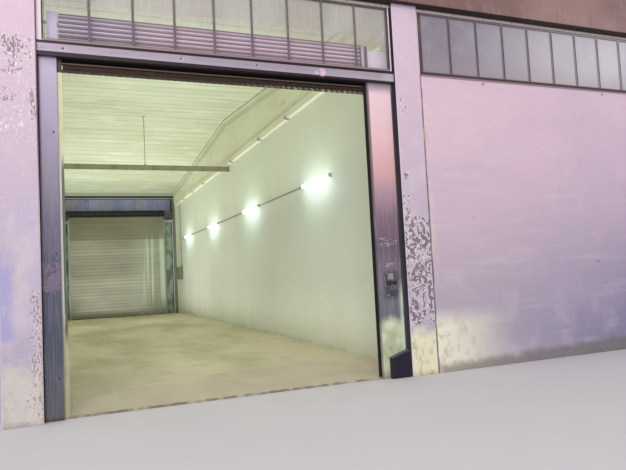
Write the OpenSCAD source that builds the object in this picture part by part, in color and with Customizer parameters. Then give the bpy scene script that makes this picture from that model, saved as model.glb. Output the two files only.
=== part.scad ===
// Factory building of two bays under one low double-pitched roof.
// Precast piers carry deep roof beams that run from front to rear and rise to the ridge.
// The left bay has a roller shutter door at each end, the right bay a wall with a window ribbon.
// Origin: centre of the plan on the ground. X runs along the facade, +Y goes into the building.

/* [Plan] */
// Distance between the centre lines of neighbouring piers
bay_pitch = 5450; // [4800:50:6200]
// Depth between the outer faces of the front and rear piers
hall_depth = 22200; // [17000:100:26000]
// Width of a pier along the facade
pier_w = 450; // [400:10:550]
// Depth of a pier into the building
pier_d = 450; // [400:10:600]
// Chamfer on the upright edges of a pier
pier_chamfer = 15; // [5:1:20]
// Thickness of the two end walls
end_wall_t = 200; // [120:5:280]
// Thickness of the wall between the two bays
party_wall_t = 120; // [80:5:250]
// Thickness of the facade wall under the window ribbon
infill_t = 250; // [150:5:300]
// Setback of the facade wall behind the pier faces
infill_recess = 20; // [20:1:50]

/* [Heights] */
// Height of the pier seat that carries a roof beam
seat_z = 5250; // [5100:10:5400]
// Height of the pier horn, which is the soffit of the eaves beam
soffit_z = 5700; // [5500:10:5780]
// Height of the roof beam's top at its end
beam_end_top = 5925; // [5920:5:6100]
// Fall of the roof, in millimetres for each metre
roof_fall = 75.5; // [40:0.5:110]
// Top of the level floor
floor_z = 80; // [60:1:120]
// Top of the floor at a door's threshold
threshold_z = 25; // [15:1:40]

/* [Roof beams] */
// Depth of the pier horn in front of a beam's end
horn_d = 200; // [180:5:250]
// Joint between a beam's end and the pier horn
beam_end_joint = 20; // [5:1:40]
// Width of the bottom flange
bottom_flange_w = 300; // [250:5:360]
// Height of the bottom flange's upright edge
bottom_flange_h = 150; // [100:5:200]
// Width of the top flange
top_flange_w = 360; // [300:5:400]
// Height of the top flange's upright edge
top_flange_h = 140; // [90:5:170]
// Thickness of the web
web_t = 120; // [90:5:160]
// Rise of the sloped haunch between a flange and the web
haunch_h = 70; // [30:5:90]
// Length of the thickened block at each end of a beam
end_block_l = 900; // [500:10:1500]

/* [Roof deck] */
// Planks between the ridge and the eaves on each slope
planks_per_slope = 15; // [10:1:20]
// Thickness of the planks with their topping
deck_t = 80; // [60:5:120]
// Half width of the open joint under two planks
plank_joint_w = 9; // [4:1:15]
// Depth of the open joint under two planks
plank_joint_d = 14; // [5:1:25]
// Thickness of the insulated roof covering
covering_t = 60; // [30:5:100]
// Overhang of the covering into the gutter
covering_overhang = 50; // [20:5:70]
// Half width of the ridge cap
ridge_cap_w = 300; // [200:10:450]
// Width of the verge trim on the covering
verge_w = 140; // [80:5:220]
// Thickness of the ridge cap and verge sheets
trim_t = 8; // [3:1:14]

/* [Eaves beam] */
// Projection of the eaves beam past the pier faces
eaves_projection = 90; // [50:5:140]
// Height of the eaves beam's face
eaves_h = 750; // [550:10:900]
// Thickness of the eaves beam's face
eaves_face_t = 120; // [90:5:130]
// Thickness of the gutter bottom
gutter_bottom_t = 110; // [80:5:130]
// Thickness of the gutter's inner wall
gutter_inner_t = 80; // [60:5:80]
// Joint between the eaves beams of two bays
eaves_joint = 12; // [6:1:20]

/* [Door] */
// Level stretch of the floor behind the guides
threshold_land = 80; // [40:5:150]
// Length of the floor's ramp behind that stretch
ramp_l = 1300; // [800:50:2000]
// Height of the door header's underside
header_z = 4450; // [4000:10:4550]
// Height of the door header
header_h = 190; // [120:5:240]
// Thickness of the door header
header_t = 80; // [75:5:100]
// Setback of the door header behind the pier faces
header_recess = 50; // [40:5:70]
// Setback of the door jambs behind the pier faces
jamb_recess = 95; // [70:5:105]
// Thickness of a door jamb
jamb_t = 40; // [30:5:45]
// Width of the left jamb
left_jamb_w = 210; // [150:5:300]
// Width of the right jamb
right_jamb_w = 420; // [250:5:500]
// Joint between the left jamb and its pier
left_jamb_joint = 10; // [2:1:25]
// Joint between the right jamb and its pier
right_jamb_joint = 30; // [5:1:50]

/* [Roller shutter] */
// Width of a guide channel
guide_w = 80; // [70:2:110]
// Depth of a guide channel
guide_d = 50; // [46:1:60]
// Sheet thickness of a guide channel
guide_wall = 8; // [4:1:9]
// Lap of a guide channel behind the left jamb
guide_lap = 20; // [10:1:25]
// Reach of the curtain into a guide channel
curtain_reach = 30; // [15:1:40]
// Thickness of the curtain over the curve of its slats
slat_t = 16; // [13:1:18]
// Thickness of a slat's flat back
slat_back_t = 7; // [4:1:8]
// Height of one slat of the front curtain
front_slat_pitch = 61; // [55:1:90]
// Height of one slat of the rear curtains
rear_slat_pitch = 77; // [70:1:110]
// Radius of the curtain rolled up at the front
front_coil_r = 145; // [130:5:160]
// Radius of what stays on the shaft above the rear curtains
rear_coil_r = 100; // [90:5:130]
// Height of the shaft above the door header
shaft_rise = 310; // [280:5:340]
// Radius of the shaft
shaft_r = 30; // [20:1:45]
// Running clearance of the shaft in its bearings
shaft_clearance = 0.3; // [0.1:0.1:0.5]
// Thickness of the bearing plates
bearing_plate_t = 15; // [8:1:20]
// Reach of a bearing plate above and in front of the shaft
bearing_plate_r = 120; // [90:5:130]
// Width of the bracket on a bearing plate
bearing_bracket_w = 110; // [60:5:150]
// Gap between the curtain's edge and a bearing plate
bearing_gap = 12; // [5:1:15]
// Thickness of the bearing arms
bearing_arm_t = 45; // [30:5:60]
// Distance of the bearing arms from the pier's inner chamfer
bearing_arm_inset = 20; // [10:5:40]
// Depth of the drive cover
drive_cover_d = 240; // [150:5:240]
// Height of the drive cover
drive_cover_h = 330; // [240:10:340]
// Rise of the drive cover above the shaft
drive_cover_rise = 40; // [30:5:80]
// Height of the front curtain's lower edge when rolled up
rolled_edge_z = 4315; // [3900:5:4330]
// Height of a curtain's bottom bar
bottom_bar_h = 60; // [40:5:90]
// Thickness of a curtain's bottom bar
bottom_bar_t = 26; // [24:1:30]

/* [Windows] */
// Panes across one bay
panes = 9; // [6:1:12]
// Setback of the window frames behind the pier faces
frame_recess = 55; // [45:5:65]
// Depth of the window frames
frame_t = 50; // [40:5:60]
// Width of a transom frame's end bars
transom_end_bar = 76; // [50:1:120]
// Width of the ribbon frame's end bars
ribbon_end_bar = 95; // [50:1:140]
// Height of a frame's bottom and top rails
frame_rail_h = 30; // [20:1:45]
// Width of a glazing bar
glazing_bar_w = 22; // [14:1:35]
// Depth of a glazing bar in front of the glass
glazing_bar_d = 25; // [12:1:30]
// Thickness of the glass
glass_t = 6; // [4:1:8]
// Height of the metal strip above the glazing
head_strip_h = 55; // [30:5:80]
// Thickness of the metal strip above the glazing
head_strip_t = 30; // [15:1:38]
// Height of the sill under the ribbon
sill_h = 40; // [25:1:60]
// Projection of the sill past the facade wall
sill_projection = 18; // [5:1:19]

/* [Fittings] */
// Width of the wheel guard at the right jamb's foot
guard_w = 330; // [200:10:380]
// Height of the wheel guard at its outer edge
guard_low_h = 310; // [200:10:380]
// Height of the wheel guard against the pier
guard_high_h = 400; // [390:10:600]
// Width of the guard's level top against the pier
guard_top_w = 60; // [30:5:120]
// Side of the key switch plate
key_switch_w = 90; // [60:5:120]
// Thickness of the key switch plate
key_plate_t = 12; // [5:1:18]
// Projection of the key switch's barrel from the jamb
key_barrel_l = 24; // [20:1:35]
// Radius of the key switch's barrel
key_barrel_r = 18; // [10:1:25]
// Height of the key switch above the ground
key_switch_z = 1500; // [1100:10:1700]
// Distance between the centres of the wall lights
light_pitch = 4950; // [3500:50:5000]
// Number of wall lights
lights = 4; // [2:1:4]
// Length of a wall light
light_l = 1500; // [900:50:1600]
// Height of a wall light
light_h = 90; // [60:5:130]
// Projection of a wall light from the wall
light_d = 75; // [50:5:100]
// Height of the wall lights' centre line
light_z = 3530; // [2800:10:4000]
// Distance from the front pier faces to the first light's centre
first_light_y = 3700; // [2500:50:4200]
// Radius of the conduit
conduit_r = 13; // [8:1:18]
// Distance of the upright conduit from the rear pier faces
conduit_inset = 1500; // [1100:50:1900]
// Width of the electric panel
panel_w = 450; // [300:10:600]
// Height of the electric panel
panel_h = 600; // [400:10:800]
// Projection of the electric panel
panel_d = 200; // [120:5:250]
// Height of the electric panel's underside
panel_z = 1640; // [1200:10:1900]
// Height of the cross beam's underside
cross_beam_z = 5050; // [4900:10:5080]
// Height of the cross beam
cross_beam_h = 160; // [120:5:200]
// Width of the cross beam's flanges
cross_beam_w = 90; // [60:5:120]
// Sheet thickness of the cross beam
cross_beam_t = 8; // [5:1:12]
// Radius of the hanger rod
hanger_r = 10; // [6:1:16]
// Side of the hanger rod's top plate
hanger_plate = 120; // [80:5:160]

/* [Hidden] */
$fn = 48;
big = 40000;
// Clearance of pieces that lie on a slope or round a bar
seat_gap = 0.3;
// Overlap of shapes that fuse, or that cut through
lap = 1;
bays = 2;
half_depth = hall_depth / 2;
half_width = bays * bay_pitch / 2 + pier_w / 2;
bay_clear = bay_pitch - pier_w;
// Left edge of each bay's opening, at the pier's side face
bay_left = [for (b = [0 : bays - 1]) (b - bays / 2) * bay_pitch + pier_w / 2];
// Roof line at the top of the roof beams
roof_slope = roof_fall / 1000;
beam_half_l = half_depth - horn_d - beam_end_joint;
ridge_z = beam_end_top + roof_slope * beam_half_l;
function roof_z(y) = ridge_z - roof_slope * abs(y);
roof_angle = atan(roof_slope);
// Eaves beam: the inner wall of its gutter ends in front of the roof beams
gutter_gap = 10;
gutter_inner_d = horn_d - gutter_gap;
// Share of the sill's height that its sloped top takes at the nose
sill_fall = 0.6;
// Shares of a wall light's size where its housing bends
light_side_share = 0.4;
light_face_share = 0.4;
deck_end_y = half_depth - gutter_inner_d + gutter_inner_t;
covering_end_y = deck_end_y + covering_overhang;
plank_pitch = deck_end_y / planks_per_slope;
// Heights of the roof's layers above the roof line
deck_rise = seat_gap;
covering_rise = deck_rise + deck_t + seat_gap;
trim_rise = covering_rise + covering_t + seat_gap;
// Window band
band_z = header_z + header_h;
band_h = soffit_z - band_z;
frame_h = band_h - head_strip_h;
glass_d = frame_recess + glazing_bar_d;
// Door, measured from the left pier's side face
opening_l = left_jamb_joint + left_jamb_w;
opening_r = bay_clear - right_jamb_joint - right_jamb_w;
guide_l = opening_l - guide_lap;
guide_front = jamb_recess + jamb_t;
curtain_mid_d = guide_front + guide_d / 2;
curtain_front_d = curtain_mid_d - slat_t / 2;
curtain_l = guide_l + guide_w - curtain_reach;
curtain_r = opening_r + curtain_reach;
shaft_z = band_z + shaft_rise;
// A slat's curved front, as the arc through its two edges
slat_edge = 5;
slat_facets = 40;
slat_bulge = slat_t - slat_back_t;
function slat_half_chord(pitch) = pitch / 2 - slat_edge;
function slat_arc_r(pitch) = (pow(slat_half_chord(pitch), 2) + slat_bulge * slat_bulge) / (2 * slat_bulge);
bottom_bar_inset = 10;
// Bearing plates and drive cover end short of the pier's inner chamfer
bearing_back_d = pier_d - pier_chamfer;
// Floor ramp behind a threshold
threshold_flat = guide_front + guide_d + threshold_land;
ramp_end = threshold_flat + ramp_l;

// Placing helpers
module at_front() translate([0, -half_depth, 0]) children();
module at_rear() mirror([0, 1, 0]) at_front() children();
module extrude_x(x, l) translate([x, 0, 0]) rotate([90, 0, 90]) linear_extrude(l) children();
module extrude_y(y, l) translate([0, y + l, 0]) rotate([90, 0, 0]) linear_extrude(l) children();
module block(x, y, z, l, w, h) translate([x, y, z]) cube([l, w, h]);

// Piers: the inner part ends as a seat, the outer part goes on as a horn
module pier_section() {
    c = pier_chamfer;
    w = pier_w / 2;
    polygon([[-w + c, 0], [w - c, 0], [w, c], [w, pier_d - c], [w - c, pier_d],
        [-w + c, pier_d], [-w, pier_d - c], [-w, c]]);
}
module pier(line) color("thistle") translate([line * bay_pitch, 0, 0]) {
    linear_extrude(seat_z) pier_section();
    translate([0, 0, seat_z - lap]) linear_extrude(soffit_z - seat_z + lap) intersection() {
        pier_section();
        translate([-pier_w, 0]) square([2 * pier_w, horn_d]);
    }
}

// Roof beams: double-sloped I shape with solid ends
module beam_side(h_bottom, w) extrude_x(-w / 2, w) polygon([
    [-beam_half_l, h_bottom], [beam_half_l, h_bottom],
    [beam_half_l, roof_z(beam_half_l)], [0, ridge_z], [-beam_half_l, roof_z(beam_half_l)]]);
module bottom_flange() extrude_y(-beam_half_l, 2 * beam_half_l) polygon([
    [-bottom_flange_w / 2, seat_z], [bottom_flange_w / 2, seat_z],
    [bottom_flange_w / 2, seat_z + bottom_flange_h],
    [web_t / 2, seat_z + bottom_flange_h + haunch_h],
    [-web_t / 2, seat_z + bottom_flange_h + haunch_h],
    [-bottom_flange_w / 2, seat_z + bottom_flange_h]]);
module top_flange() intersection() {
    translate([0, 0, ridge_z]) rotate([roof_angle, 0, 0]) extrude_y(-big / 2, big / 2 + pier_d) polygon([
        [-top_flange_w / 2, 0], [top_flange_w / 2, 0], [top_flange_w / 2, -top_flange_h],
        [web_t / 2, -top_flange_h - haunch_h], [-web_t / 2, -top_flange_h - haunch_h],
        [-top_flange_w / 2, -top_flange_h]]);
    block(-top_flange_w, -beam_half_l, 0, 2 * top_flange_w, beam_half_l, big);
}
module end_blocks() intersection() {
    beam_side(seat_z, bottom_flange_w);
    for (s = [-1, 1])
        block(-big / 2, s * (beam_half_l - end_block_l / 2) - end_block_l / 2, 0, big, end_block_l, big);
}
module roof_beam(line) color("lightgrey") translate([line * bay_pitch, 0, 0]) union() {
    beam_side(seat_z, web_t);
    bottom_flange();
    top_flange();
    mirror([0, 1, 0]) top_flange();
    end_blocks();
}

// Roof layers: each is a profile across one slope, drawn for the front and mirrored to the rear
module slope_profile(y_end, rise, t) polygon([
    [0, roof_z(0) + rise], [0, roof_z(0) + rise + t],
    [-y_end, roof_z(y_end) + rise + t], [-y_end, roof_z(y_end) + rise]]);
module deck_slope() {
    joint = [for (i = [1 : planks_per_slope - 1]) each let (y = i * plank_pitch) [
        [-y + plank_joint_w, roof_z(y - plank_joint_w) + deck_rise],
        [-y, roof_z(y) + deck_rise + plank_joint_d],
        [-y - plank_joint_w, roof_z(y + plank_joint_w) + deck_rise]]];
    l = half_width - eaves_joint / 2;
    for (x = [-half_width, eaves_joint / 2]) color("beige") extrude_x(x, l)
        polygon(concat(
            [[-plank_joint_w, roof_z(0) + deck_rise + deck_t],
            [-plank_joint_w, roof_z(plank_joint_w) + deck_rise]],
            joint,
            [[-deck_end_y, roof_z(deck_end_y) + deck_rise],
            [-deck_end_y, roof_z(deck_end_y) + deck_rise + deck_t]]));
}
module covering_slope() color("dimgray") extrude_x(-half_width, 2 * half_width)
    slope_profile(covering_end_y, covering_rise, covering_t);
module ridge_cap() color("silver") {
    l = half_width - verge_w - trim_t;
    extrude_x(-l, 2 * l) polygon([
        [-ridge_cap_w, roof_z(ridge_cap_w) + trim_rise], [0, ridge_z + trim_rise],
        [ridge_cap_w, roof_z(ridge_cap_w) + trim_rise],
        [ridge_cap_w, roof_z(ridge_cap_w) + trim_rise + trim_t], [0, ridge_z + trim_rise + trim_t],
        [-ridge_cap_w, roof_z(ridge_cap_w) + trim_rise + trim_t]]);
}
module verge_sheet() {
    extrude_x(half_width - verge_w, verge_w + seat_gap + trim_t)
        slope_profile(covering_end_y, trim_rise, trim_t);
    extrude_x(half_width + seat_gap, trim_t)
        slope_profile(covering_end_y, deck_rise, trim_rise - deck_rise + trim_t);
}
module verge_trim() color("silver") for (m = [0, 1], n = [0, 1])
    mirror([m, 0, 0]) mirror([0, n, 0]) intersection() {
        verge_sheet();
        block(0, -big / 2 - 2, 0, big, big / 2, big);
    }

// Eaves beam: a channel whose trough is the gutter, closed at the building's ends
module eaves_section() polygon([
    [-eaves_projection, soffit_z], [gutter_inner_d, soffit_z],
    [gutter_inner_d, roof_z(half_depth - gutter_inner_d)],
    [gutter_inner_d - gutter_inner_t, roof_z(deck_end_y)],
    [gutter_inner_d - gutter_inner_t, soffit_z + gutter_bottom_t],
    [eaves_face_t - eaves_projection, soffit_z + gutter_bottom_t],
    [eaves_face_t - eaves_projection, soffit_z + eaves_h], [-eaves_projection, soffit_z + eaves_h]]);
module gutter_end() polygon([
    [-eaves_projection, soffit_z], [gutter_inner_d, soffit_z],
    [gutter_inner_d, roof_z(half_depth - gutter_inner_d)],
    [gutter_inner_d - gutter_inner_t, roof_z(deck_end_y)],
    [-eaves_projection, roof_z(deck_end_y)]]);
module eaves_beam() color("rosybrown") for (m = [0, 1]) mirror([m, 0, 0]) {
    extrude_x(eaves_joint / 2, half_width - eaves_joint / 2) eaves_section();
    extrude_x(half_width - eaves_face_t, eaves_face_t) gutter_end();
}

// Floor: one slab in each bay, notched round the piers, with a ramp behind each threshold
module slab(b, front_door) {
    wall_l = b == 0 ? end_wall_t / 2 : party_wall_t / 2;
    wall_r = b == 0 ? party_wall_t / 2 : end_wall_t / 2;
    x = bay_left[b] - pier_w / 2 + wall_l;
    front = front_door
        ? [[guide_front, 0], [guide_front, threshold_z], [threshold_flat, threshold_z], [ramp_end, floor_z]]
        : [[infill_recess + infill_t, 0], [infill_recess + infill_t, floor_z]];
    rear = [[hall_depth - ramp_end, floor_z], [hall_depth - threshold_flat, threshold_z],
        [hall_depth - guide_front, threshold_z], [hall_depth - guide_front, 0]];
    difference() {
        at_front() extrude_x(x, bay_pitch - wall_l - wall_r) polygon(concat(front, rear));
        for (m = [0, 1], side = [-1, 1]) mirror([0, m, 0]) at_front()
            block(bay_left[b] + bay_clear / 2 + side * (bay_clear + pier_w) / 2 - pier_w / 2, -lap, -lap,
                pier_w, pier_d + lap, floor_z + 2 * lap);
    }
}
module floor_slab() color("tan") {
    slab(0, true);
    slab(1, false);
}

// Walls under the roof beams and in the facade
module long_wall(line, t) color("gainsboro")
    block(line * bay_pitch - t / 2, -half_depth + pier_d, 0, t, hall_depth - 2 * pier_d, seat_z);
module front_wall() color("thistle") at_front()
    block(bay_left[1], infill_recess, 0, bay_clear, infill_t, band_z - sill_h);
module window_sill() color("gray") at_front() extrude_x(bay_left[1], bay_clear) polygon([
    [infill_recess - sill_projection, band_z - sill_h], [infill_recess + infill_t, band_z - sill_h],
    [infill_recess + infill_t, band_z], [frame_recess, band_z],
    [infill_recess - sill_projection, band_z - sill_h + sill_h * sill_fall]]);

// Glazing: a frame with bars in front of one sheet of glass
module frame(b, end_bar) {
    pitch = (bay_clear - 2 * end_bar) / panes;
    translate([bay_left[b], 0, 0]) {
        extrude_y(frame_recess, frame_t) difference() {
            translate([0, band_z]) square([bay_clear, frame_h]);
            translate([end_bar, band_z + frame_rail_h])
                square([bay_clear - 2 * end_bar, frame_h - 2 * frame_rail_h]);
        }
        extrude_y(frame_recess, glazing_bar_d) for (i = [1 : panes - 1])
            translate([end_bar + i * pitch - glazing_bar_w / 2, band_z + frame_rail_h - lap])
                square([glazing_bar_w, frame_h - 2 * frame_rail_h + 2 * lap]);
    }
}
module glass(b, end_bar) translate([bay_left[b] + end_bar, glass_d, band_z + frame_rail_h])
    cube([bay_clear - 2 * end_bar, glass_t, frame_h - 2 * frame_rail_h]);
module head_strip(b) block(bay_left[b], frame_recess, soffit_z - head_strip_h,
    bay_clear, head_strip_t, head_strip_h);
module head_strips() color("silver") for (b = [0 : bays - 1]) {
    at_front() head_strip(b);
    at_rear() head_strip(b);
}

// Door frame and shutter, drawn for the front of bay b
module header(b) color("thistle") block(bay_left[b], header_recess, header_z, bay_clear, header_t, header_h);
module left_jamb(b) block(bay_left[b] + left_jamb_joint, jamb_recess, 0, left_jamb_w, jamb_t, header_z);
module right_jamb(b) block(bay_left[b] + opening_r, jamb_recess, 0, right_jamb_w, jamb_t, header_z);
module guide_section() difference() {
    square([guide_w, guide_d]);
    translate([guide_wall, guide_wall]) square([guide_w, guide_d - 2 * guide_wall]);
}
module guides(b) color("dimgray") for (m = [0, 1])
    translate([bay_left[b] + (m == 0 ? guide_l : opening_r + guide_w), guide_front, threshold_z])
        mirror([m, 0, 0]) linear_extrude(band_z - threshold_z) guide_section();
// The curved front of one slat, as a segment that reaches into the slat's flat back
module slat_curve(pitch) intersection() {
    translate([slat_arc_r(pitch) - slat_t, pitch / 2]) circle(slat_arc_r(pitch), $fn = slat_facets);
    translate([-slat_t - lap, 0]) square([slat_bulge + 2 * lap, pitch]);
}
// A coil: a core with a flat for each slat of its outer turn, and the slats' curves that sink into the flats
module coil_section(r, pitch) {
    slats_round = floor(2 * PI * r / pitch);
    turn = 360 / slats_round;
    core_r = (r - slat_bulge - lap / 2) / cos(turn / 2);
    polygon([for (i = [1 : slats_round]) let (a = 180 + (i - 0.5) * turn) core_r * [cos(a), sin(a)]]);
    for (i = [1 : slats_round]) rotate(i * turn) translate([-r + slat_t, -pitch / 2]) slat_curve(pitch);
}
module curtain(b, r, pitch, edge_z, tint) color(tint) {
    coil_d = curtain_front_d + r;
    slats_top = shaft_z - pitch / 2;
    slats = floor((slats_top - edge_z - bottom_bar_h) / pitch);
    l = curtain_r - curtain_l;
    x = bay_left[b] + curtain_l;
    extrude_x(x, l) {
        translate([coil_d, shaft_z]) coil_section(r, pitch);
        translate([curtain_front_d + slat_bulge, edge_z + bottom_bar_h])
            square([slat_back_t, shaft_z - edge_z - bottom_bar_h]);
        for (i = [1 : slats]) translate([curtain_front_d + slat_t, slats_top - i * pitch]) slat_curve(pitch);
    }
    bar_l = opening_r - guide_l - guide_w - 2 * bottom_bar_inset;
    block(bay_left[b] + guide_l + guide_w + bottom_bar_inset, curtain_mid_d - bottom_bar_t / 2, edge_z,
        bar_l, bottom_bar_t, bottom_bar_h + lap);
    reach = bearing_gap + bearing_plate_t;
    translate([x - reach, coil_d, shaft_z]) rotate([0, 90, 0]) cylinder(r = shaft_r, h = l + 2 * reach);
}
// Bearings: plates that stand over the guides, with a bracket and two arms to the left pier,
// and the drive cover against the right pier
module bearing_plate(x, coil_d) block(x, coil_d - bearing_plate_r, band_z + seat_gap,
    bearing_plate_t, bearing_back_d - coil_d + bearing_plate_r, shaft_rise + bearing_plate_r - seat_gap);
module bearings(b, r, tint) color(tint) {
    coil_d = curtain_front_d + r;
    plate_l = curtain_l - bearing_gap - bearing_plate_t;
    plate_r = curtain_r + bearing_gap;
    plate_h = shaft_rise + bearing_plate_r - seat_gap;
    translate([bay_left[b], 0, 0]) {
        difference() {
            union() {
                bearing_plate(plate_l, coil_d);
                block(plate_l - bearing_bracket_w, coil_d - bearing_plate_r, band_z + seat_gap,
                    bearing_bracket_w + lap, bearing_plate_t, plate_h);
                for (z = [band_z + bearing_arm_t, shaft_z + bearing_plate_r - 2 * bearing_arm_t])
                    block(0, bearing_back_d - bearing_arm_t - bearing_arm_inset, z,
                        plate_l + lap, bearing_arm_t, bearing_arm_t);
            }
            translate([plate_l - lap, coil_d, shaft_z]) rotate([0, 90, 0])
                cylinder(r = shaft_r + shaft_clearance, h = bearing_plate_t + 2 * lap);
        }
        difference() {
            union() {
                bearing_plate(plate_r, coil_d);
                block(plate_r + bearing_plate_t - lap, bearing_back_d - drive_cover_d,
                    shaft_z + drive_cover_rise - drive_cover_h, bay_clear - plate_r - bearing_plate_t + lap,
                    drive_cover_d, drive_cover_h);
            }
            translate([plate_r - lap, coil_d, shaft_z]) rotate([0, 90, 0])
                cylinder(r = shaft_r + shaft_clearance, h = bearing_plate_t + lap);
        }
    }
}

// Fittings
module wheel_guard() color("darkslategray") at_front() translate([bay_left[0] + bay_clear, 0, 0])
    extrude_y(pier_chamfer, jamb_recess - pier_chamfer) polygon([
        [-guard_w, 0], [0, 0], [0, guard_high_h], [-guard_top_w, guard_high_h], [-guard_w, guard_low_h]]);
module key_switch() color("silver") at_front()
    translate([bay_left[0] + opening_r + right_jamb_w / 2, jamb_recess, key_switch_z]) {
        block(-key_switch_w / 2, -key_plate_t, -key_switch_w / 2, key_switch_w, key_plate_t, key_switch_w);
        rotate([90, 0, 0]) cylinder(r = key_barrel_r, h = key_barrel_l);
    }
wall_x = -party_wall_t / 2;
light_ys = [for (i = [0 : lights - 1]) -half_depth + first_light_y + i * light_pitch];
conduit_x = wall_x - conduit_r - seat_gap;
conduit_y = half_depth - conduit_inset;
module wall_lights() color("white") for (y = light_ys) translate([wall_x, y + light_l / 2, light_z])
    rotate([90, 0, 0]) linear_extrude(light_l) polygon([
        [0, -light_h / 2], [0, light_h / 2], [-light_d * light_side_share, light_h / 2],
        [-light_d, light_h / 2 * light_face_share], [-light_d, -light_h / 2 * light_face_share],
        [-light_d * light_side_share, -light_h / 2]]);
module conduit_run(y0, y1) translate([conduit_x, y0, light_z]) rotate([-90, 0, 0])
    cylinder(r = conduit_r, h = y1 - y0);
module light_conduit() color("gainsboro") {
    for (i = [0 : lights - 2]) conduit_run(light_ys[i] + light_l / 2, light_ys[i + 1] - light_l / 2);
    conduit_run(light_ys[lights - 1] + light_l / 2, conduit_y);
    translate([conduit_x, conduit_y, panel_z + panel_h]) cylinder(r = conduit_r, h = seat_z - panel_z - panel_h);
}
module electric_panel() color("whitesmoke")
    block(wall_x - panel_d, conduit_y - panel_w / 2, panel_z, panel_d, panel_w, panel_h);
// The cross beam is an I-bar from wall to wall under the ridge, with a plate at each end
cross_l = bay_pitch - end_wall_t / 2 - party_wall_t / 2;
cross_x = -bay_pitch + end_wall_t / 2;
module cross_beam() color("silver") translate([cross_x, 0, cross_beam_z]) {
    extrude_x(0, cross_l) {
        for (z = [0, cross_beam_h - cross_beam_t])
            translate([-cross_beam_w / 2, z]) square([cross_beam_w, cross_beam_t]);
        translate([-cross_beam_t / 2, 0]) square([cross_beam_t, cross_beam_h]);
    }
    for (x = [0, cross_l - cross_beam_t])
        block(x, -cross_beam_w, -cross_beam_t, cross_beam_t, 2 * cross_beam_w, cross_beam_h + 2 * cross_beam_t);
}
module hanger_rod() color("silver") translate([cross_x + cross_l / 2, 0, 0]) {
    top = roof_z(hanger_plate / 2) + deck_rise - seat_gap;
    foot = cross_beam_z + cross_beam_h;
    translate([0, 0, foot]) cylinder(r = hanger_r, h = top - foot);
    block(-hanger_plate / 2, -hanger_plate / 2, top - cross_beam_t, hanger_plate, hanger_plate, cross_beam_t);
}

floor_slab();
at_front() pier(-1);  // pier_front_left
at_front() pier(0);  // pier_front_middle
at_front() pier(1);  // pier_front_right
at_rear() pier(-1);  // pier_rear_left
at_rear() pier(0);  // pier_rear_middle
at_rear() pier(1);  // pier_rear_right
roof_beam(-1);  // roof_beam_left
roof_beam(0);  // roof_beam_middle
roof_beam(1);  // roof_beam_right
deck_slope();  // roof_deck_front
mirror([0, 1, 0]) deck_slope();  // roof_deck_rear
covering_slope();  // roof_covering_front
mirror([0, 1, 0]) covering_slope();  // roof_covering_rear
ridge_cap();
verge_trim();
at_front() eaves_beam();  // eaves_beam_front
at_rear() eaves_beam();  // eaves_beam_rear
long_wall(-1, end_wall_t);  // left_end_wall
long_wall(0, party_wall_t);  // party_wall
long_wall(1, end_wall_t);  // right_end_wall
front_wall();
window_sill();
color("gray") at_front() frame(1, ribbon_end_bar);  // ribbon_frame
color("slategray") at_front() glass(1, ribbon_end_bar);  // ribbon_glass
color("thistle") at_front() frame(0, transom_end_bar);  // transom_frame_front
color("slategray") at_front() glass(0, transom_end_bar);  // transom_glass_front
color("thistle") at_rear() for (b = [0, 1]) frame(b, transom_end_bar);  // transom_frame_rear
color("slategray") at_rear() for (b = [0, 1]) glass(b, transom_end_bar);  // transom_glass_rear
head_strips();
at_front() header(0);  // door_header_front
at_rear() for (b = [0, 1]) header(b);  // door_header_rear
color("slategray") at_front() left_jamb(0);  // left_jamb_front
color("thistle") at_front() right_jamb(0);  // right_jamb_front
color("darkolivegreen") at_rear() for (b = [0, 1]) { left_jamb(b); right_jamb(b); }  // jambs_rear
at_front() guides(0);  // guides_front
at_rear() for (b = [0, 1]) guides(b);  // guides_rear
at_front() curtain(0, front_coil_r, front_slat_pitch, rolled_edge_z, "plum");  // shutter_front
at_rear() for (b = [0, 1]) curtain(b, rear_coil_r, rear_slat_pitch, threshold_z, "darkgray");  // shutters_rear
at_front() bearings(0, front_coil_r, "white");  // bearings_front
at_rear() for (b = [0, 1]) bearings(b, rear_coil_r, "white");  // bearings_rear
wheel_guard();
key_switch();
wall_lights();
light_conduit();
electric_panel();
cross_beam();
hanger_rod();
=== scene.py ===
"""Finishes, fittings, light and camera for a factory hall of two bays with painted piers."""
import math

import bmesh
import bpy
from bpy.props import FloatProperty, FloatVectorProperty, IntProperty, PointerProperty
from mathutils import Matrix, Vector


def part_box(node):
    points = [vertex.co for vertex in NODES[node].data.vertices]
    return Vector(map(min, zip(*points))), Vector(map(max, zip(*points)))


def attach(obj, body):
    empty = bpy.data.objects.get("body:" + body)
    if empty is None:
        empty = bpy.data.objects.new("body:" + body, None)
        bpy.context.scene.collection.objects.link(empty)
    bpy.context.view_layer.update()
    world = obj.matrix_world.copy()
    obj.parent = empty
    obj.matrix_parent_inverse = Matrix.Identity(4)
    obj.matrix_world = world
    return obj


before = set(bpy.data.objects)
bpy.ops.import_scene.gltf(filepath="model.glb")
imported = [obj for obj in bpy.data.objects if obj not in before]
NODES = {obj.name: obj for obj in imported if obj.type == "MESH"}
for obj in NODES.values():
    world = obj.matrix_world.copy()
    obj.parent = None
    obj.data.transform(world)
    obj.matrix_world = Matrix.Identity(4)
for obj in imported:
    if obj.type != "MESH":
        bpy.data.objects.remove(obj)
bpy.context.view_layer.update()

bl_info = {
    "name": "Factory Hall",
    "version": (1, 0, 0),
    "blender": (4, 5, 0),
    "location": "3D View > Sidebar > Hall",
    "description": "Finishes and small fittings for a factory hall of two bays",
    "category": "Object",
}


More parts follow.
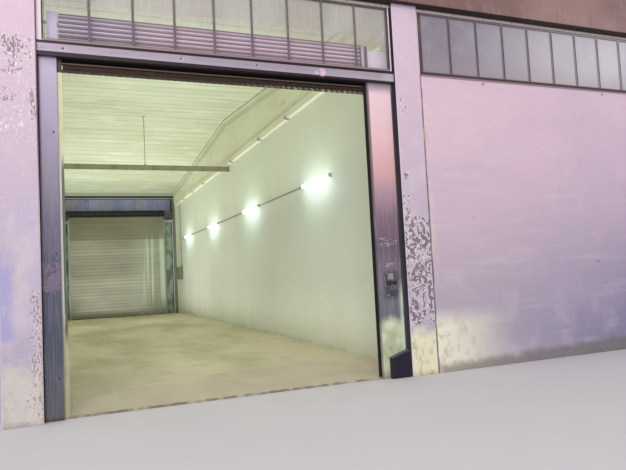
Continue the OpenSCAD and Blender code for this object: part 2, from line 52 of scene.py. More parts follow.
def linear(tone):
    """A colour as a material holds it. A tuple is a colour as it shows, in levels from 0 to 255."""
    if not isinstance(tone, tuple):
        return tone
    shares = [level / 255 for level in tone]
    return tuple(share / 12.92 if share <= 0.04045 else ((share + 0.055) / 1.055) ** 2.4
                 for share in shares)


def colour(name, about, *levels):
    return FloatVectorProperty(name=name, description=about, default=linear(levels), size=3,
                               subtype="COLOR", min=0, max=1)


def length(name, about, metres):
    return FloatProperty(name=name, description=about, default=metres, unit="LENGTH", min=0)


class PaintSettings(bpy.types.PropertyGroup):
    """Colours of the painted masonry outside."""
    # Pier and wall colours: the darkening downwards and away from the door is partly painted shade
    pier_high: colour("Pier, high", "Paint on the upper part of the piers", 231, 206, 222)
    pier_low: colour("Pier, low", "Paint on the lower part of the piers", 192, 184, 202)
    wall_high: colour("Wall, high", "Facade wall under the ribbon, at the door side", 237, 208, 221)
    wall_far: colour("Wall, far", "Facade wall away from the door", 238, 213, 228)
    wall_low: colour("Wall, low", "Facade wall near the ground", 184, 176, 190)
    wall_low_far: colour("Wall, low and far", "Facade wall low and away from the door", 140, 138, 172)
    undercoat: colour("Undercoat", "Pale coat at the rims of the chips", 243, 234, 238)
    bare: colour("Bare concrete", "Concrete in the chips", 122, 102, 114)
    # Colour of the painted light near the ground
    splash: colour("Painted glow", "Yellow-white painted light near the ground", 254, 250, 212)
    fascia: colour("Fascia", "Painted concrete of the eaves beams", 136, 107, 102)
    dirt: colour("Dirt", "Dirt in joints and along the ground", 84, 76, 74)


class InsideSettings(bpy.types.PropertyGroup):
    """Colours of the surfaces inside the hall."""
    wall: colour("Wall", "Painted walls", 207, 211, 194)
    ceiling: colour("Ceiling", "Painted planks", 226, 233, 208)
    beam: colour("Beam", "Painted roof beams", 224, 230, 204)
    floor: colour("Floor", "Worn smooth concrete", 212, 201, 170)
    rear_slats: colour("Rear slats", "Galvanised slats of the closed curtains", 152, 151, 132)


class MetalSettings(bpy.types.PropertyGroup):
    """Colours and sizes of the metalwork."""
    enamel: colour("Enamel", "Lilac-grey enamel of the header and the jambs", 174, 161, 174)
    slats: colour("Slats", "Pink-lilac slats of the rolled curtain", 224, 196, 212)
    window: colour("Window steel", "Dark bars of the glazing", 84, 68, 78)
    zinc: colour("Zinc", "Weathered galvanised steel", 158, 160, 160)
    bolt_r: length("Bolt radius", "Half the width of a bolt's head", 0.008)
    screw_r: length("Screw radius", "Half the width of a roof screw's head", 0.007)
    coil_r: length("Coil radius", "Radius of the front curtain where it is rolled up", 0.145)
    slat_h: length("Slat height", "Height of one slat of the front curtain", 0.061)
    tooth_w: length("Tooth width", "Width of one tooth of the rolled curtain's rubber lip", 0.088)
    tooth_h: length("Tooth height", "Height of one tooth of that lip", 0.006)
    lip_h: length("Lip height", "Height of the lip above its teeth", 0.036)
    bead_w: length("Bead width", "Width of the glazing bead round a pane", 0.007)
    panes: IntProperty(name="Panes", description="Panes in one glazed band", default=9, min=1)
    felt_w: length("Felt width", "Width of one strip of roofing felt", 0.92)


class StudioSettings(bpy.types.PropertyGroup):
    """Camera, light and floor of the picture."""
    eye: FloatVectorProperty(name="Camera place", description="Where the camera stands",
                             default=(-4.8866, -18.9185, 1.6), size=3, subtype="TRANSLATION")
    yaw: FloatProperty(name="Yaw", description="Turn of the view towards +X",
                       default=0.3851615, subtype="ANGLE")
    pitch: FloatProperty(name="Pitch", description="Tilt of the view upwards",
                         default=0.0642561, subtype="ANGLE")
    roll: FloatProperty(name="Roll", description="Turn of the view about its own line",
                        default=-0.0509172, subtype="ANGLE")
    lens: FloatProperty(name="Lens", description="Focal length in millimetres",
                        default=34.42, subtype="DISTANCE_CAMERA")
    sky: FloatProperty(name="Sky", description="Strength of the even light", default=0.62, min=0)
    key: FloatProperty(name="Key", description="Power of the large light in front",
                       default=1500, unit="POWER", min=0)
    tube: FloatProperty(name="Tube", description="Power of the glow that one wall light throws on its wall",
                        default=6.0, unit="POWER", min=0)
    down: FloatProperty(name="Down", description="Power of one soft light inside, towards the floor",
                        default=16.2, unit="POWER", min=0)
    fill: FloatProperty(name="Fill", description="Power of one soft light inside, towards the party wall",
                        default=17.2, unit="POWER", min=0)
    rise: FloatProperty(name="Rise", description="Power of one soft light inside, towards the ceiling",
                        default=128, unit="POWER", min=0)


class HallSettings(bpy.types.PropertyGroup):
    """All settings of the hall."""
    paint: PointerProperty(type=PaintSettings)
    inside: PointerProperty(type=InsideSettings)
    metal: PointerProperty(type=MetalSettings)
    studio: PointerProperty(type=StudioSettings)


def set_stops(ramp, stops):
    """Gives a colour ramp its stops: places from 0 to 1, each with a colour."""
    for spare in list(ramp.elements)[1:]:
        ramp.elements.remove(spare)
    ramp.elements[0].position, ramp.elements[0].color = stops[0]
    for place, tone in stops[1:]:
        ramp.elements.new(place).color = tone


class Value:
    """A socket of a node tree. Arithmetic on it adds Math nodes."""

    def __init__(self, tree, socket):
        self.tree = tree
        self.socket = socket

    def feed(self, socket, value):
        """Links a Value, or several, to a socket, or sets the socket to a plain value."""
        if isinstance(value, list):
            for each in value:
                self.tree.links.new(each.socket, socket)
        elif isinstance(value, Value):
            self.tree.links.new(value.socket, socket)
        elif socket.type == "RGBA":
            socket.default_value = (*value[:3], 1)
        else:
            socket.default_value = value

    def node(self, kind, settings=None, inputs=None, output=0):
        """Adds a node, its settings first, and gives one of its outputs."""
        made = self.tree.nodes.new(kind)
        for name, setting in (settings or {}).items():
            if name == "stops":
                set_stops(made.color_ramp, setting)
            else:
                setattr(made, name, setting)
        for name, value in (inputs or {}).items():
            self.feed(made.inputs[name], value)
        return Value(self.tree, made.outputs[output])

    def maths(self, operation, first, second=0.0):
        return self.node("ShaderNodeMath", {"operation": operation}, {0: first, 1: second})

    def __add__(self, other):
        return self.maths("ADD", self, other)

    def __sub__(self, other):
        return self.maths("SUBTRACT", self, other)

    def __rsub__(self, other):
        return self.maths("SUBTRACT", other, self)

    def __mul__(self, other):
        return self.maths("MULTIPLY", self, other)

    def __truediv__(self, other):
        return self.maths("DIVIDE", self, other)

    __radd__ = __add__
    __rmul__ = __mul__

    def maximum(self, other):
        return self.maths("MAXIMUM", self, other)

    def size(self):
        return self.maths("ABSOLUTE", self)

    def whole(self):
        return self.maths("FLOOR", self)

    def rest(self):
        """The part of the value behind the decimal point."""
        return self.maths("FRACT", self)

    def rise(self, low, high):
        """Goes softly from 0 at low to 1 at high. With low above high it falls instead."""
        settings = {"interpolation_type": "SMOOTHSTEP"}
        return self.node("ShaderNodeMapRange", settings, {0: self, 1: low, 2: high, 3: 0.0, 4: 1.0})

    def band(self, low, high, soft):
        """1 between low and high, with soft edges outside them."""
        return self.rise(low - soft, low) * self.rise(high + soft, high)

    def mix(self, first, second):
        """The first colour where this value is 0, the second where it is 1."""
        tones = {0: self, 6: linear(first), 7: linear(second)}
        return self.node("ShaderNodeMix", {"data_type": "RGBA"}, tones, 2)

    def over(self, colour_below, colour_above, share):
        """Lays a colour on another where this value is 1, to that share."""
        return (self * share).mix(colour_below, colour_above)


class Finish:
    """A material built up in coats, whose patterns read the place on the object, in metres."""

    def __init__(self, name):
        self.base = None
        self.material = bpy.data.materials.new(name)
        self.material.use_nodes = True
        self.tree = self.material.node_tree
        self.shader = self.tree.nodes["Principled BSDF"]
        self.place = Value(self.tree, None).node("ShaderNodeTexCoord", output="Object")
        parts = self.place.node("ShaderNodeSeparateXYZ", inputs={0: self.place}).socket.node.outputs
        self.x, self.y, self.z = (Value(self.tree, part) for part in parts)

    def coat(self, mask, tone, share):
        """Lays a colour on the base where the mask is 1, to that share."""
        self.base = mask.over(self.base, tone, share)

    def stretched(self, size, stretch):
        """The place on the object, scaled for a texture whose features are about that size."""
        inputs = {0: self.place, 1: tuple(share / size for share in stretch)}
        scaled = self.place.node("ShaderNodeVectorMath", {"operation": "MULTIPLY"}, inputs)
        return {"Vector": scaled, "Scale": 1.0}

    def noise(self, size, stretch=(1, 1, 1), detail=3.0, rough=0.55):
        """Cloudy noise from 0 to 1 whose blots are about that size. A stretch below 1 draws them out."""
        inputs = {**self.stretched(size, stretch), "Detail": detail, "Roughness": rough}
        return self.place.node("ShaderNodeTexNoise", inputs=inputs)

    def cells(self, size, stretch=(1, 1, 1), feature="F1"):
        """Distance to the middle, or to the edge, of cells about that size."""
        return self.place.node("ShaderNodeTexVoronoi", {"feature": feature}, self.stretched(size, stretch))

    def chance(self, value):
        """One random number for each whole value."""
        return value.node("ShaderNodeTexWhiteNoise", {"noise_dimensions": "1D"}, {"W": value})

    def patch(self, left, right, low, high, soft=0.03):
        """A soft rectangle on the facade."""
        return self.x.band(left, right, soft) * self.z.band(low, high, soft)

    def spot(self, across, up, radius):
        """A soft round spot on the facade."""
        wide = self.x - across
        high = self.z - up
        return (wide * wide + high * high).rise(radius * radius * 1.6, radius * radius * 0.4)

    def heights(self, stops):
        """A colour by height above the ground, from stops of a height and a colour, highest first."""
        top = stops[0][0]
        levels = [(up / top, (*linear(tone), 1)) for up, tone in reversed(stops)]
        return self.z.node("ShaderNodeValToRGB", {"stops": levels}, {0: self.z / top})

    def done(self, roughness, height=None, **fixed):
        """Links the base, roughness and bump height in metres, and sets the shader's other values."""
        self.place.feed(self.shader.inputs["Base Color"], self.base)
        self.place.feed(self.shader.inputs["Roughness"], roughness)
        if height is not None:
            bump = height.node("ShaderNodeBump", inputs={"Distance": 1.0, "Height": height})
            self.place.feed(self.shader.inputs["Normal"], bump)
        for name, value in fixed.items():
            self.place.feed(self.shader.inputs[name.replace("_", " ")], value)
        return self.material


def wear(nodes, material):
    """Puts a material on CAD nodes."""
    for name in nodes:
        mesh = NODES[name].data
        mesh.materials.clear()
        mesh.materials.append(material)


def add_object(name, data):
    """Puts a mesh, a light or a camera in the scene."""
    made = bpy.data.objects.new(name, data)
    bpy.context.scene.collection.objects.link(made)
    return made


def settle(piece):
    """Rides a finished piece on the building."""
    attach(piece, "root")


def mesh_piece(name, form, material, smooth=False):
    """A piece from a bmesh that is already in its place."""
    bmesh.ops.remove_doubles(form, verts=form.verts, dist=1e-5)
    bmesh.ops.recalc_face_normals(form, faces=form.faces)
    mesh = bpy.data.meshes.new(name)
    form.to_mesh(mesh)
    form.free()
    mesh.materials.append(material)
    for face in mesh.polygons:
        face.use_smooth = smooth
    settle(add_object(name, mesh))


def add_box(form, low, high, bevel=0.0):
    """Adds a box between two corners, with bevelled edges if asked."""
    centre = (Vector(low) + Vector(high)) / 2
    spans = Vector(high) - Vector(low)
    place = Matrix.Translation(centre) @ Matrix.Diagonal((*spans, 1))
    made = bmesh.ops.create_cube(form, size=1, matrix=place)["verts"]
    if bevel:
        edges = list(dict.fromkeys(edge for vert in made for edge in vert.link_edges))
        bmesh.ops.bevel(form, geom=edges, offset=bevel, segments=2, affect="EDGES", profile=0.7)


def add_bar(form, start, end, radius, sides=12):
    """Adds a round bar between two points."""
    start, end = Vector(start), Vector(end)
    turn = (end - start).to_track_quat("Z", "Y").to_matrix().to_4x4()
    place = Matrix.Translation((start + end) / 2) @ turn
    bmesh.ops.create_cone(form, segments=sides, radius1=radius, radius2=radius,
                          depth=(end - start).length, cap_ends=True, matrix=place)


def solid_piece(name, boxes, bars, material, smooth=False):
    """A piece of boxes (two corners and perhaps a bevel) and bars (two ends, a radius, perhaps sides)."""
    form = bmesh.new()
    for box in boxes:
        add_box(form, *box)
    for bar in bars:
        add_bar(form, *bar)
    mesh_piece(name, form, material, smooth)


SOCKETS = {float: "NodeSocketFloat", int: "NodeSocketInt", tuple: "NodeSocketVector"}


def repeat_tree(name, sizes, shape, spread=None):
    """A Geometry Nodes tree that sets a shape on every point of its mesh, or where spread puts points.

    sizes are its named inputs with their values. shape and spread get those inputs as Values.
    """
    tree = bpy.data.node_groups.new(name, "GeometryNodeTree")
    tree.interface.new_socket("Geometry", in_out="INPUT", socket_type="NodeSocketGeometry")
    tree.interface.new_socket("Geometry", in_out="OUTPUT", socket_type="NodeSocketGeometry")
    for label, size in {"Turn": (0.0, 0.0, 0.0), "Spin": 0.0, "Seed": 0, **sizes}.items():
        socket = tree.interface.new_socket(label, in_out="INPUT", socket_type=SOCKETS[type(size)])
        socket.default_value = size
    tree.interface.new_socket("Finish", in_out="INPUT", socket_type="NodeSocketMaterial")
    group = tree.nodes.new("NodeGroupInput")
    given = {socket.name: Value(tree, socket) for socket in group.outputs if socket.name}
    start = given["Geometry"]
    points = spread(given) if spread else start
    spin = start.node("FunctionNodeRandomValue", {"data_type": "FLOAT"},
                      {2: 0.0, 3: given["Spin"], "Seed": given["Seed"]}, 1)
    made = start.node("GeometryNodeInstanceOnPoints",
                      inputs={"Points": points, "Instance": shape(given), "Rotation": given["Turn"]})
    turned = start.node("GeometryNodeRotateInstances",
                        inputs={"Instances": made, "Rotation": vector(given, z=spin)})
    plain = start.node("GeometryNodeRealizeInstances", inputs={"Geometry": turned})
    dressed = start.node("GeometryNodeSetMaterial", inputs={"Geometry": plain, "Material": given["Finish"]})
    tree.links.new(dressed.socket, tree.nodes.new("NodeGroupOutput").inputs[0])
    return tree


def grow(name, mesh, sizes, shape, material, spread=None):
    """Runs such a tree on a mesh and keeps what it makes as a plain mesh piece."""
    tree = repeat_tree(name + "_tree", sizes, shape, spread)
    piece = add_object(name, mesh)
    modifier = piece.modifiers.new(tree.name, "NODES")
    modifier.node_group = tree
    modifier[tree.interface.items_tree["Finish"].identifier] = material
    seen = piece.evaluated_get(bpy.context.evaluated_depsgraph_get())
    plain = bpy.data.meshes.new_from_object(seen)
    piece.modifiers.clear()
    piece.data = plain
    if plain.materials[0] is None:
        plain.materials.pop(index=0)
    if not plain.polygons:
        raise RuntimeError(name + " came out empty")
    settle(piece)


def repeat(name, shape, places, sizes, material):
    """A piece with one shape on every place."""
    mesh = bpy.data.meshes.new(name)
    mesh.from_pydata(places, [], [])
    grow(name, mesh, sizes, shape, material)


def vector(given, x=0.0, y=0.0, z=0.0):
    return given["Geometry"].node("ShaderNodeCombineXYZ", inputs={0: x, 1: y, 2: z})


def moved(given, shape, **changes):
    """A shape with a Translation, a Rotation or a Scale."""
    return given["Geometry"].node("GeometryNodeTransform", inputs={"Geometry": shape, **changes})


def cylinder(given, sides, radius, depth):
    """A cylinder along Z about its own centre."""
    return given["Geometry"].node("GeometryNodeMeshCylinder",
                                  inputs={"Vertices": sides, "Radius": radius, "Depth": depth})


def rectangle(given, wide, high):
    return given["Geometry"].node("GeometryNodeCurvePrimitiveQuadrilateral",
                                  inputs={"Width": wide, "Height": high})


def block(given, x, y, z):
    """A block about its own centre."""
    return given["Geometry"].node("GeometryNodeMeshCube", inputs={"Size": vector(given, x, y, z)})


def joined(given, parts):
    return given["Geometry"].node("GeometryNodeJoinGeometry", inputs={0: parts})


def bolt_shape(given):
    """A washer and a six-sided head on it, both standing up along Z."""
    radius, high = given["Head Radius"], given["Head Height"]
    washer_h = high * 0.3
    washer = cylinder(given, 16, radius * 1.6, washer_h)
    head = cylinder(given, 6, radius, high)
    return joined(given, [moved(given, washer, Translation=vector(given, z=washer_h * 0.5)),
                          moved(given, head, Translation=vector(given, z=washer_h + high * 0.5))])


def bead_shape(given):
    """A rectangular ring of bead that lies in the XY plane."""
    outline = rectangle(given, given["Width"], given["Height"])
    section = rectangle(given, given["Bead"], given["Bead"])
    return outline.node("GeometryNodeCurveToMesh", inputs={0: outline, 1: section})


def clip_shape(given):
    """A saddle clip over a pipe that runs along Z, with two feet."""
    radius, wide = given["Radius"], given["Width"]
    arc = radius.node("GeometryNodeCurveArc", inputs={"Resolution": 10, "Radius": radius,
                                                      "Start Angle": 0.0, "Sweep Angle": math.pi})
    section = rectangle(given, radius * 0.2, wide)
    saddle = arc.node("GeometryNodeCurveToMesh", inputs={0: arc, 1: section, "Fill Caps": True})
    feet = [moved(given, block(given, radius, radius * 0.2, wide),
                  Translation=vector(given, radius * (1.4 * side))) for side in (-1, 1)]
    return joined(given, [saddle, *feet])


def slab_shape(given):
    """A plain slab of the named size about its own centre."""
    return block(given, given["Width"], given["Length"], given["Height"])


def tooth_shape(given):
    """One triangular tooth that points down -Z, with its top edge in the XY plane."""
    upright = moved(given, cylinder(given, 3, 1.0, 1.0), Rotation=(math.pi / 2, math.pi / 2, 0.0))
    scale = vector(given, given["Width"] / math.sqrt(3), given["Thickness"], given["Height"] / 1.5)
    return moved(given, upright, Scale=scale, Translation=vector(given, z=given["Height"] / -3.0))


def flake_points(given):
    """Random places on the faces of the tree's mesh."""
    return given["Geometry"].node(
        "GeometryNodeDistributePointsOnFaces", {"distribute_method": "RANDOM"},
        {"Mesh": given["Geometry"], "Density": given["Density"], "Seed": given["Seed"]})


def flake_shape(given):
    """A small flake of paint with five corners and a lifted middle, in the XY plane."""
    size = given["Size"]
    return size.node("GeometryNodeMeshCone", {"fill_type": "NGON"}, {
        "Vertices": 5, "Radius Top": size * 0.45, "Radius Bottom": size, "Depth": given["Lift"]})


# Places on the facade where paint has gone: left, right, low, high and how much of it
CHIPPED = (
    (-5.60, -5.30, 4.20, 4.62, 0.95),
    (-5.56, -5.40, 4.44, 4.61, 1.12),
    (-5.59, -5.48, 3.84, 3.98, 0.95),
    (-5.60, -5.26, 3.30, 4.10, 0.5),
    (-5.31, -5.25, 3.64, 4.00, 0.9),
    (-5.32, -5.23, 0.05, 1.56, 0.98),
    (-5.40, -5.23, 0.02, 0.50, 0.75),
    (-0.22, 0.22, 0.78, 2.36, 1.02),
    (-0.14, 0.18, 0.84, 2.28, 1.16),
    (-0.20, -0.12, 2.28, 2.50, 1.0),
    (-0.15, -0.09, 3.92, 4.18, 0.8),
    (-0.15, -0.10, 2.98, 3.06, 1.0),
    (-0.18, -0.11, 2.58, 2.70, 1.0),
)
# Marks on the facade wall: across, up and radius
MARKS = (
    (3.636, 1.565, 0.02),
    (1.429, 4.55, 0.026),
    (4.043, 4.55, 0.026),
    (2.62, 3.12, 0.01),
    (1.05, 2.36, 0.01),
)
# Sizes of the CAD model that its boxes don't tell: a glazing bar, the wall lights, the top of a roof beam
# at its ends, and a rear slat with the height at which the lowest one starts
BAR_W = 0.022
LIGHT_L = 1.5
LIGHTS = 4
BEAM_END_TOP = 5.925
REAR_SLAT_H = 0.077
REAR_SLAT_FOOT = 0.025
# Spacing of lines that only the finishes show: between the panels of the end walls, between the boards
# that the beams were cast in, and the ceiling's seams and ribs
PANEL_PITCH = 2.13
BOARD_PITCH = 0.14
SEAM_PITCH = 0.4888
RIB_PITCH = 0.1222
PIER_LOW, PIER_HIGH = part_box("pier_front_middle")
PIER_PITCH = (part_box("pier_front_right")[0] - PIER_LOW).x
PIER_HALF = (PIER_HIGH - PIER_LOW).x / 2
FACADE_Y = PIER_LOW.y


def header_bolts_across():
    """Where the bolts of a door header sit along the facade."""
    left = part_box("door_header_front")[0].x
    return [left + offset for offset in (0.301, 1.757, 2.813)]


def pier_paint(paint):
    """Pink masonry paint that turns lilac downwards and peels in chips with pale rims. The darkening
    downwards is partly painted shade. It also carries painted light near the ground, painted highlights on
    the chamfers and painted shade on the side faces.
    """
    finish = Finish("pier_paint")
    # Lilac and darker downwards; the darkening is partly painted shade
    finish.base = finish.z.rise(0.3, 5.3).mix(paint.pier_low, paint.pier_high)
    finish.coat(finish.noise(0.9, (1, 1, 0.5), 2).rise(0.46, 0.66), (205, 196, 224), 0.45)
    finish.coat(finish.noise(0.4, (1, 1, 0.6)).rise(0.52, 0.72), (240, 222, 220), 0.4)
    finish.coat(finish.noise(0.05, (0.3, 1, 1)).rise(0.5, 0.75), (238, 222, 230), 0.25)
    finish.coat(finish.noise(0.02, (1, 1, 0.06), 2).rise(0.5, 0.8), paint.undercoat, 0.12)
    finish.coat(finish.noise(0.006, detail=2).rise(0.5, 0.75), (190, 170, 186), 0.22)
    lilac = finish.patch(-5.8, -5.6, 1.05, 2.0, 0.12) * finish.noise(0.2, (1, 1, 0.5)).rise(0.35, 0.6)
    finish.coat(lilac, (174, 172, 220), 0.75)

    front = finish.y.rise(FACADE_Y + 0.12, FACADE_Y + 0.06)
    known = finish.x.rise(2.0, 1.0) * front
    peel = finish.noise(1.1, (1, 1, 0.5), 2).rise(0.5, 0.68) * 0.85 * (1 - known)
    peel = peel.maximum(0.34 * known)
    for left, right, low, high, share in CHIPPED:
        peel = peel.maximum(finish.patch(left, right, low, high, 0.09) * front * share)
    blots = finish.noise(0.17, (1, 1, 0.7)).rise(0.36, 0.56)
    peel = peel * (0.72 + 0.28 * blots)
    coarse = finish.x.rise(-4.0, -3.0)
    fine_grain = finish.noise(0.026, (1, 1, 0.55), 4, 0.66)
    coarse_grain = finish.noise(0.062, (1, 1, 0.75), 5, 0.7)
    grain = fine_grain * (1 - coarse) + coarse_grain * coarse
    depth = grain - (0.76 - 0.25 * peel)
    chips = depth.rise(0.0, 0.012)
    rims = depth.rise(-0.055, -0.035) * (1 - chips)
    stone = finish.noise(0.012).mix((98, 82, 100), (170, 154, 164))
    stone = finish.noise(0.08, detail=2).rise(0.4, 0.65).over(stone, paint.bare, 0.6)
    stone = (1 - coarse).over(stone, (176, 154, 166), 0.5)
    finish.coat(rims, (252, 244, 248), 0.9)
    across = finish.x + (finish.z - 3.8) * 0.12
    brown = across.band(-5.286, -5.262, 0.016) * finish.z.band(3.68, 3.95, 0.06)
    brown = brown * finish.noise(0.05, (1, 1, 0.5)).rise(0.34, 0.5) * front
    finish.coat(brown, (168, 130, 136), 0.8)
    flecks = finish.noise(0.028, (1, 1, 0.6)).rise(0.6, 0.65) * finish.patch(-5.66, -5.24, 3.5, 4.56, 0.3)
    finish.coat(flecks * front, (255, 250, 252), 0.9)

    wobble = finish.noise(0.14, (1, 1, 0.7)) * 0.34
    # Painted light: a yellow-white pool of light near the ground, with darker mottling in it
    splash = (finish.z + wobble).rise(0.94, 0.7)
    splash = splash * (finish.x.rise(-4.0, -2.0) * 0.55 + 0.4)
    finish.coat(splash, paint.splash, 0.95)
    painted_glow_mottle = splash * finish.noise(0.09, (1, 1, 0.5), 4).rise(0.5, 0.66)
    finish.coat(painted_glow_mottle, (168, 166, 128), 0.55)
    finish.coat((finish.z + wobble * 0.5).rise(0.17, 0.06), paint.dirt, 0.35)
    chips = chips * (1 - splash * 0.8)
    finish.coat(chips, stone, 0.95)

    # Painted highlights on the piers' chamfered edges, cool on the left and warm on the right
    along = ((finish.x / PIER_PITCH + 0.5).rest() - 0.5) * PIER_PITCH
    edge = along.size().rise(PIER_HALF - 0.018, PIER_HALF - 0.008) * finish.noise(0.05).rise(0.25, 0.5)
    pale = along.rise(-0.1, 0.1).mix((226, 218, 240), (250, 234, 222))
    finish.coat(edge, pale, 0.6)
    within = finish.x.size().rise(PIER_PITCH + 0.1, PIER_PITCH)
    # Painted shade, near black, on the side faces of the piers
    side = (along.size() - PIER_HALF).size().rise(0.0012, 0.0006) * within
    side = side * finish.y.rise(FACADE_Y + 0.16, FACADE_Y + 0.14)
    darker_tone = finish.z.rise(0.6, 1.9).mix((46, 46, 64), (34, 22, 40))
    finish.coat(side, darker_tone, 0.98)
    inward = finish.y.band(10.5, 10.9, 0.05) * within
    finish.coat(inward, (196, 200, 172), 0.9)
    finish.coat(inward * finish.x.band(-0.24, -0.13, 0.01), (84, 92, 66), 0.85)
    # Dark joint along the left pier's right edge, partly painted shade of its chamfer
    joint = finish.x.band(-PIER_PITCH + PIER_HALF - 0.012, -PIER_PITCH + PIER_HALF + 0.01, 0.002)
    finish.coat(joint * finish.z.rise(2.2, 3.6) * front, (96, 66, 86), 0.8)

    height = (0.0008 * rims) - (0.0014 * chips) + 0.0006 * finish.noise(0.005, detail=2)
    rough = 0.72 + 0.2 * chips
    return finish.done(rough, height)


def facade_paint(paint):
    """Painted render: pink at the top, lilac further down and away from the door, dirty at its foot. The
    darkening downwards and away from the door is partly painted shade, and a pool of light is painted low
    near the door.
    """
    finish = Finish("facade_paint")
    # Darker downwards and away from the door, partly painted shade
    across = finish.x.rise(0.3, 5.2)
    low = across.mix(paint.wall_low, paint.wall_low_far)
    high = across.mix(paint.wall_high, paint.wall_far)
    finish.base = finish.z.rise(0.0, 4.0).mix(low, high)
    finish.coat(finish.noise(1.4, (0.6, 1, 1), 2).rise(0.42, 0.68), (202, 186, 212), 0.3)
    finish.coat(finish.noise(0.5, detail=4).rise(0.5, 0.72), (236, 216, 222), 0.22)
    trowel = finish.noise(0.02, (0.05, 1, 1))
    finish.coat(trowel.rise(0.5, 0.75), (170, 150, 176), 0.16)
    finish.coat(finish.noise(0.12, (0.12, 1, 1)).rise(0.52, 0.72), paint.undercoat, 0.14)
    finish.coat(finish.noise(0.05, (1, 1, 0.08), 2).rise(0.55, 0.8), paint.undercoat, 0.07)
    finish.coat(finish.noise(0.06, detail=4, rough=0.65).rise(0.56, 0.7), (188, 166, 190), 0.2)
    specks = finish.noise(0.02).rise(0.72, 0.78)
    finish.coat(specks, (120, 102, 122), 0.5)

    cloud = finish.noise(0.25, detail=4)
    ragged = finish.noise(0.6) * 0.5
    # Painted light: a pale yellow pool of light low near the door, with darker mottling in it
    near = (finish.x + 1.2 * ragged).rise(2.3, 0.5)
    bright = near * (finish.z + 0.25 * ragged + 0.03 * cloud).rise(1.1, 0.76)
    finish.coat(bright, (255, 254, 228), 0.95)
    light_pool_mottle = bright * finish.noise(0.12, (1, 1, 0.8), 5).rise(0.48, 0.64)
    finish.coat(light_pool_mottle, (196, 188, 166), 0.55)
    foot = (finish.z - 0.035 * finish.x + 0.16 * cloud).rise(0.25, 0.1)
    crust = finish.noise(0.03, detail=4, rough=0.7).mix((74, 74, 66), (160, 154, 140))
    finish.coat(foot, crust, 0.72)
    cream = finish.x.rise(0.4, 0.25) * finish.noise(0.22, (1, 1, 0.4)).rise(0.42, 0.62)
    finish.coat(cream, (238, 228, 206), 0.5)
    stain = finish.x.rise(0.34, 0.24) * finish.z.band(3.6, 3.72, 0.14) * finish.noise(0.07).rise(0.3, 0.6)
    finish.coat(stain, (196, 196, 140), 0.6)
    # Dark line along the middle pier: a joint, partly painted shadow of the pier's edge
    sway = finish.noise(0.3) * 0.05
    seam = (finish.x + sway).rise(0.286, 0.27)
    finish.coat(seam, (118, 92, 118), 0.75)

    marks = finish.x * 0.0
    for across_at, up, radius in MARKS:
        marks = marks.maximum(finish.spot(across_at, up, radius))
    marks = marks * finish.noise(0.02).rise(0.36, 0.5)
    finish.coat(marks, (122, 98, 114), 0.75)
    height = 0.0009 * trowel + 0.0007 * finish.noise(0.006, detail=2) - 0.002 * marks - 0.001 * foot
    return finish.done(0.75 + 0.12 * trowel, height)


def wall_paint(inside, paint):
    """Pale green-grey paint inside the hall, with painted shade towards the front and in a band at mid
    height and painted light higher up, and facade paint on the outer faces.
    """
    finish = Finish("wall_paint")
    bands = finish.noise(1.2, (1, 1, 0.1), 2)
    finish.base = bands.rise(0.35, 0.75).mix(inside.wall, (203, 205, 184))
    finish.coat(finish.noise(0.7, (1, 1, 0.7)).rise(0.5, 0.7), (214, 210, 198), 0.3)
    # Painted shade towards the front and in a band at mid height, painted light higher up
    finish.coat(finish.y.rise(-8.5, -10.6), (180, 184, 166), 0.4)
    middle = finish.z.band(1.6, 2.9, 1.2) * (0.47 + 0.23 * finish.y.rise(2.0, -6.0))
    finish.coat(middle, (168, 173, 156), 1.0)
    finish.coat(finish.z.rise(3.3, 4.6), (230, 238, 216), 0.4)
    scuffs = finish.noise(0.05, (1, 0.12, 1)).rise(0.66, 0.74) * finish.z.band(0.4, 2.1, 0.4)
    finish.coat(scuffs, (232, 230, 214), 0.4)
    roller = finish.noise(0.012, (1, 1, 0.5), 2)
    low = finish.z.rise(0.2, 0.09) * finish.noise(0.3).rise(0.4, 0.65)
    finish.coat(low, (160, 154, 130), 0.3)
    outer = finish.x.size().rise(PIER_PITCH + 0.08, PIER_PITCH + 0.09)
    weather = finish.z.rise(0.4, 4.6).mix(paint.wall_low, paint.pier_high)
    weather = finish.noise(0.9, (1, 1, 0.35), 4).rise(0.42, 0.7).over(weather, (196, 180, 204), 0.55)
    weather = finish.noise(0.05, (1, 1, 0.03), 2).rise(0.52, 0.75).over(weather, (146, 128, 140), 0.3)
    panel = ((finish.y / PANEL_PITCH).rest() - 0.5).size().rise(0.496, 0.499)
    weather = panel.over(weather, paint.dirt, 0.6)
    damp = (finish.z + finish.noise(0.3, detail=4) * 0.5).rise(0.6, 0.3)
    weather = damp.over(weather, (112, 108, 100), 0.6)
    finish.coat(outer, weather, 1.0)
    height = 0.0005 * roller - 0.004 * (panel * outer)
    return finish.done(0.62 + 0.2 * outer, height)


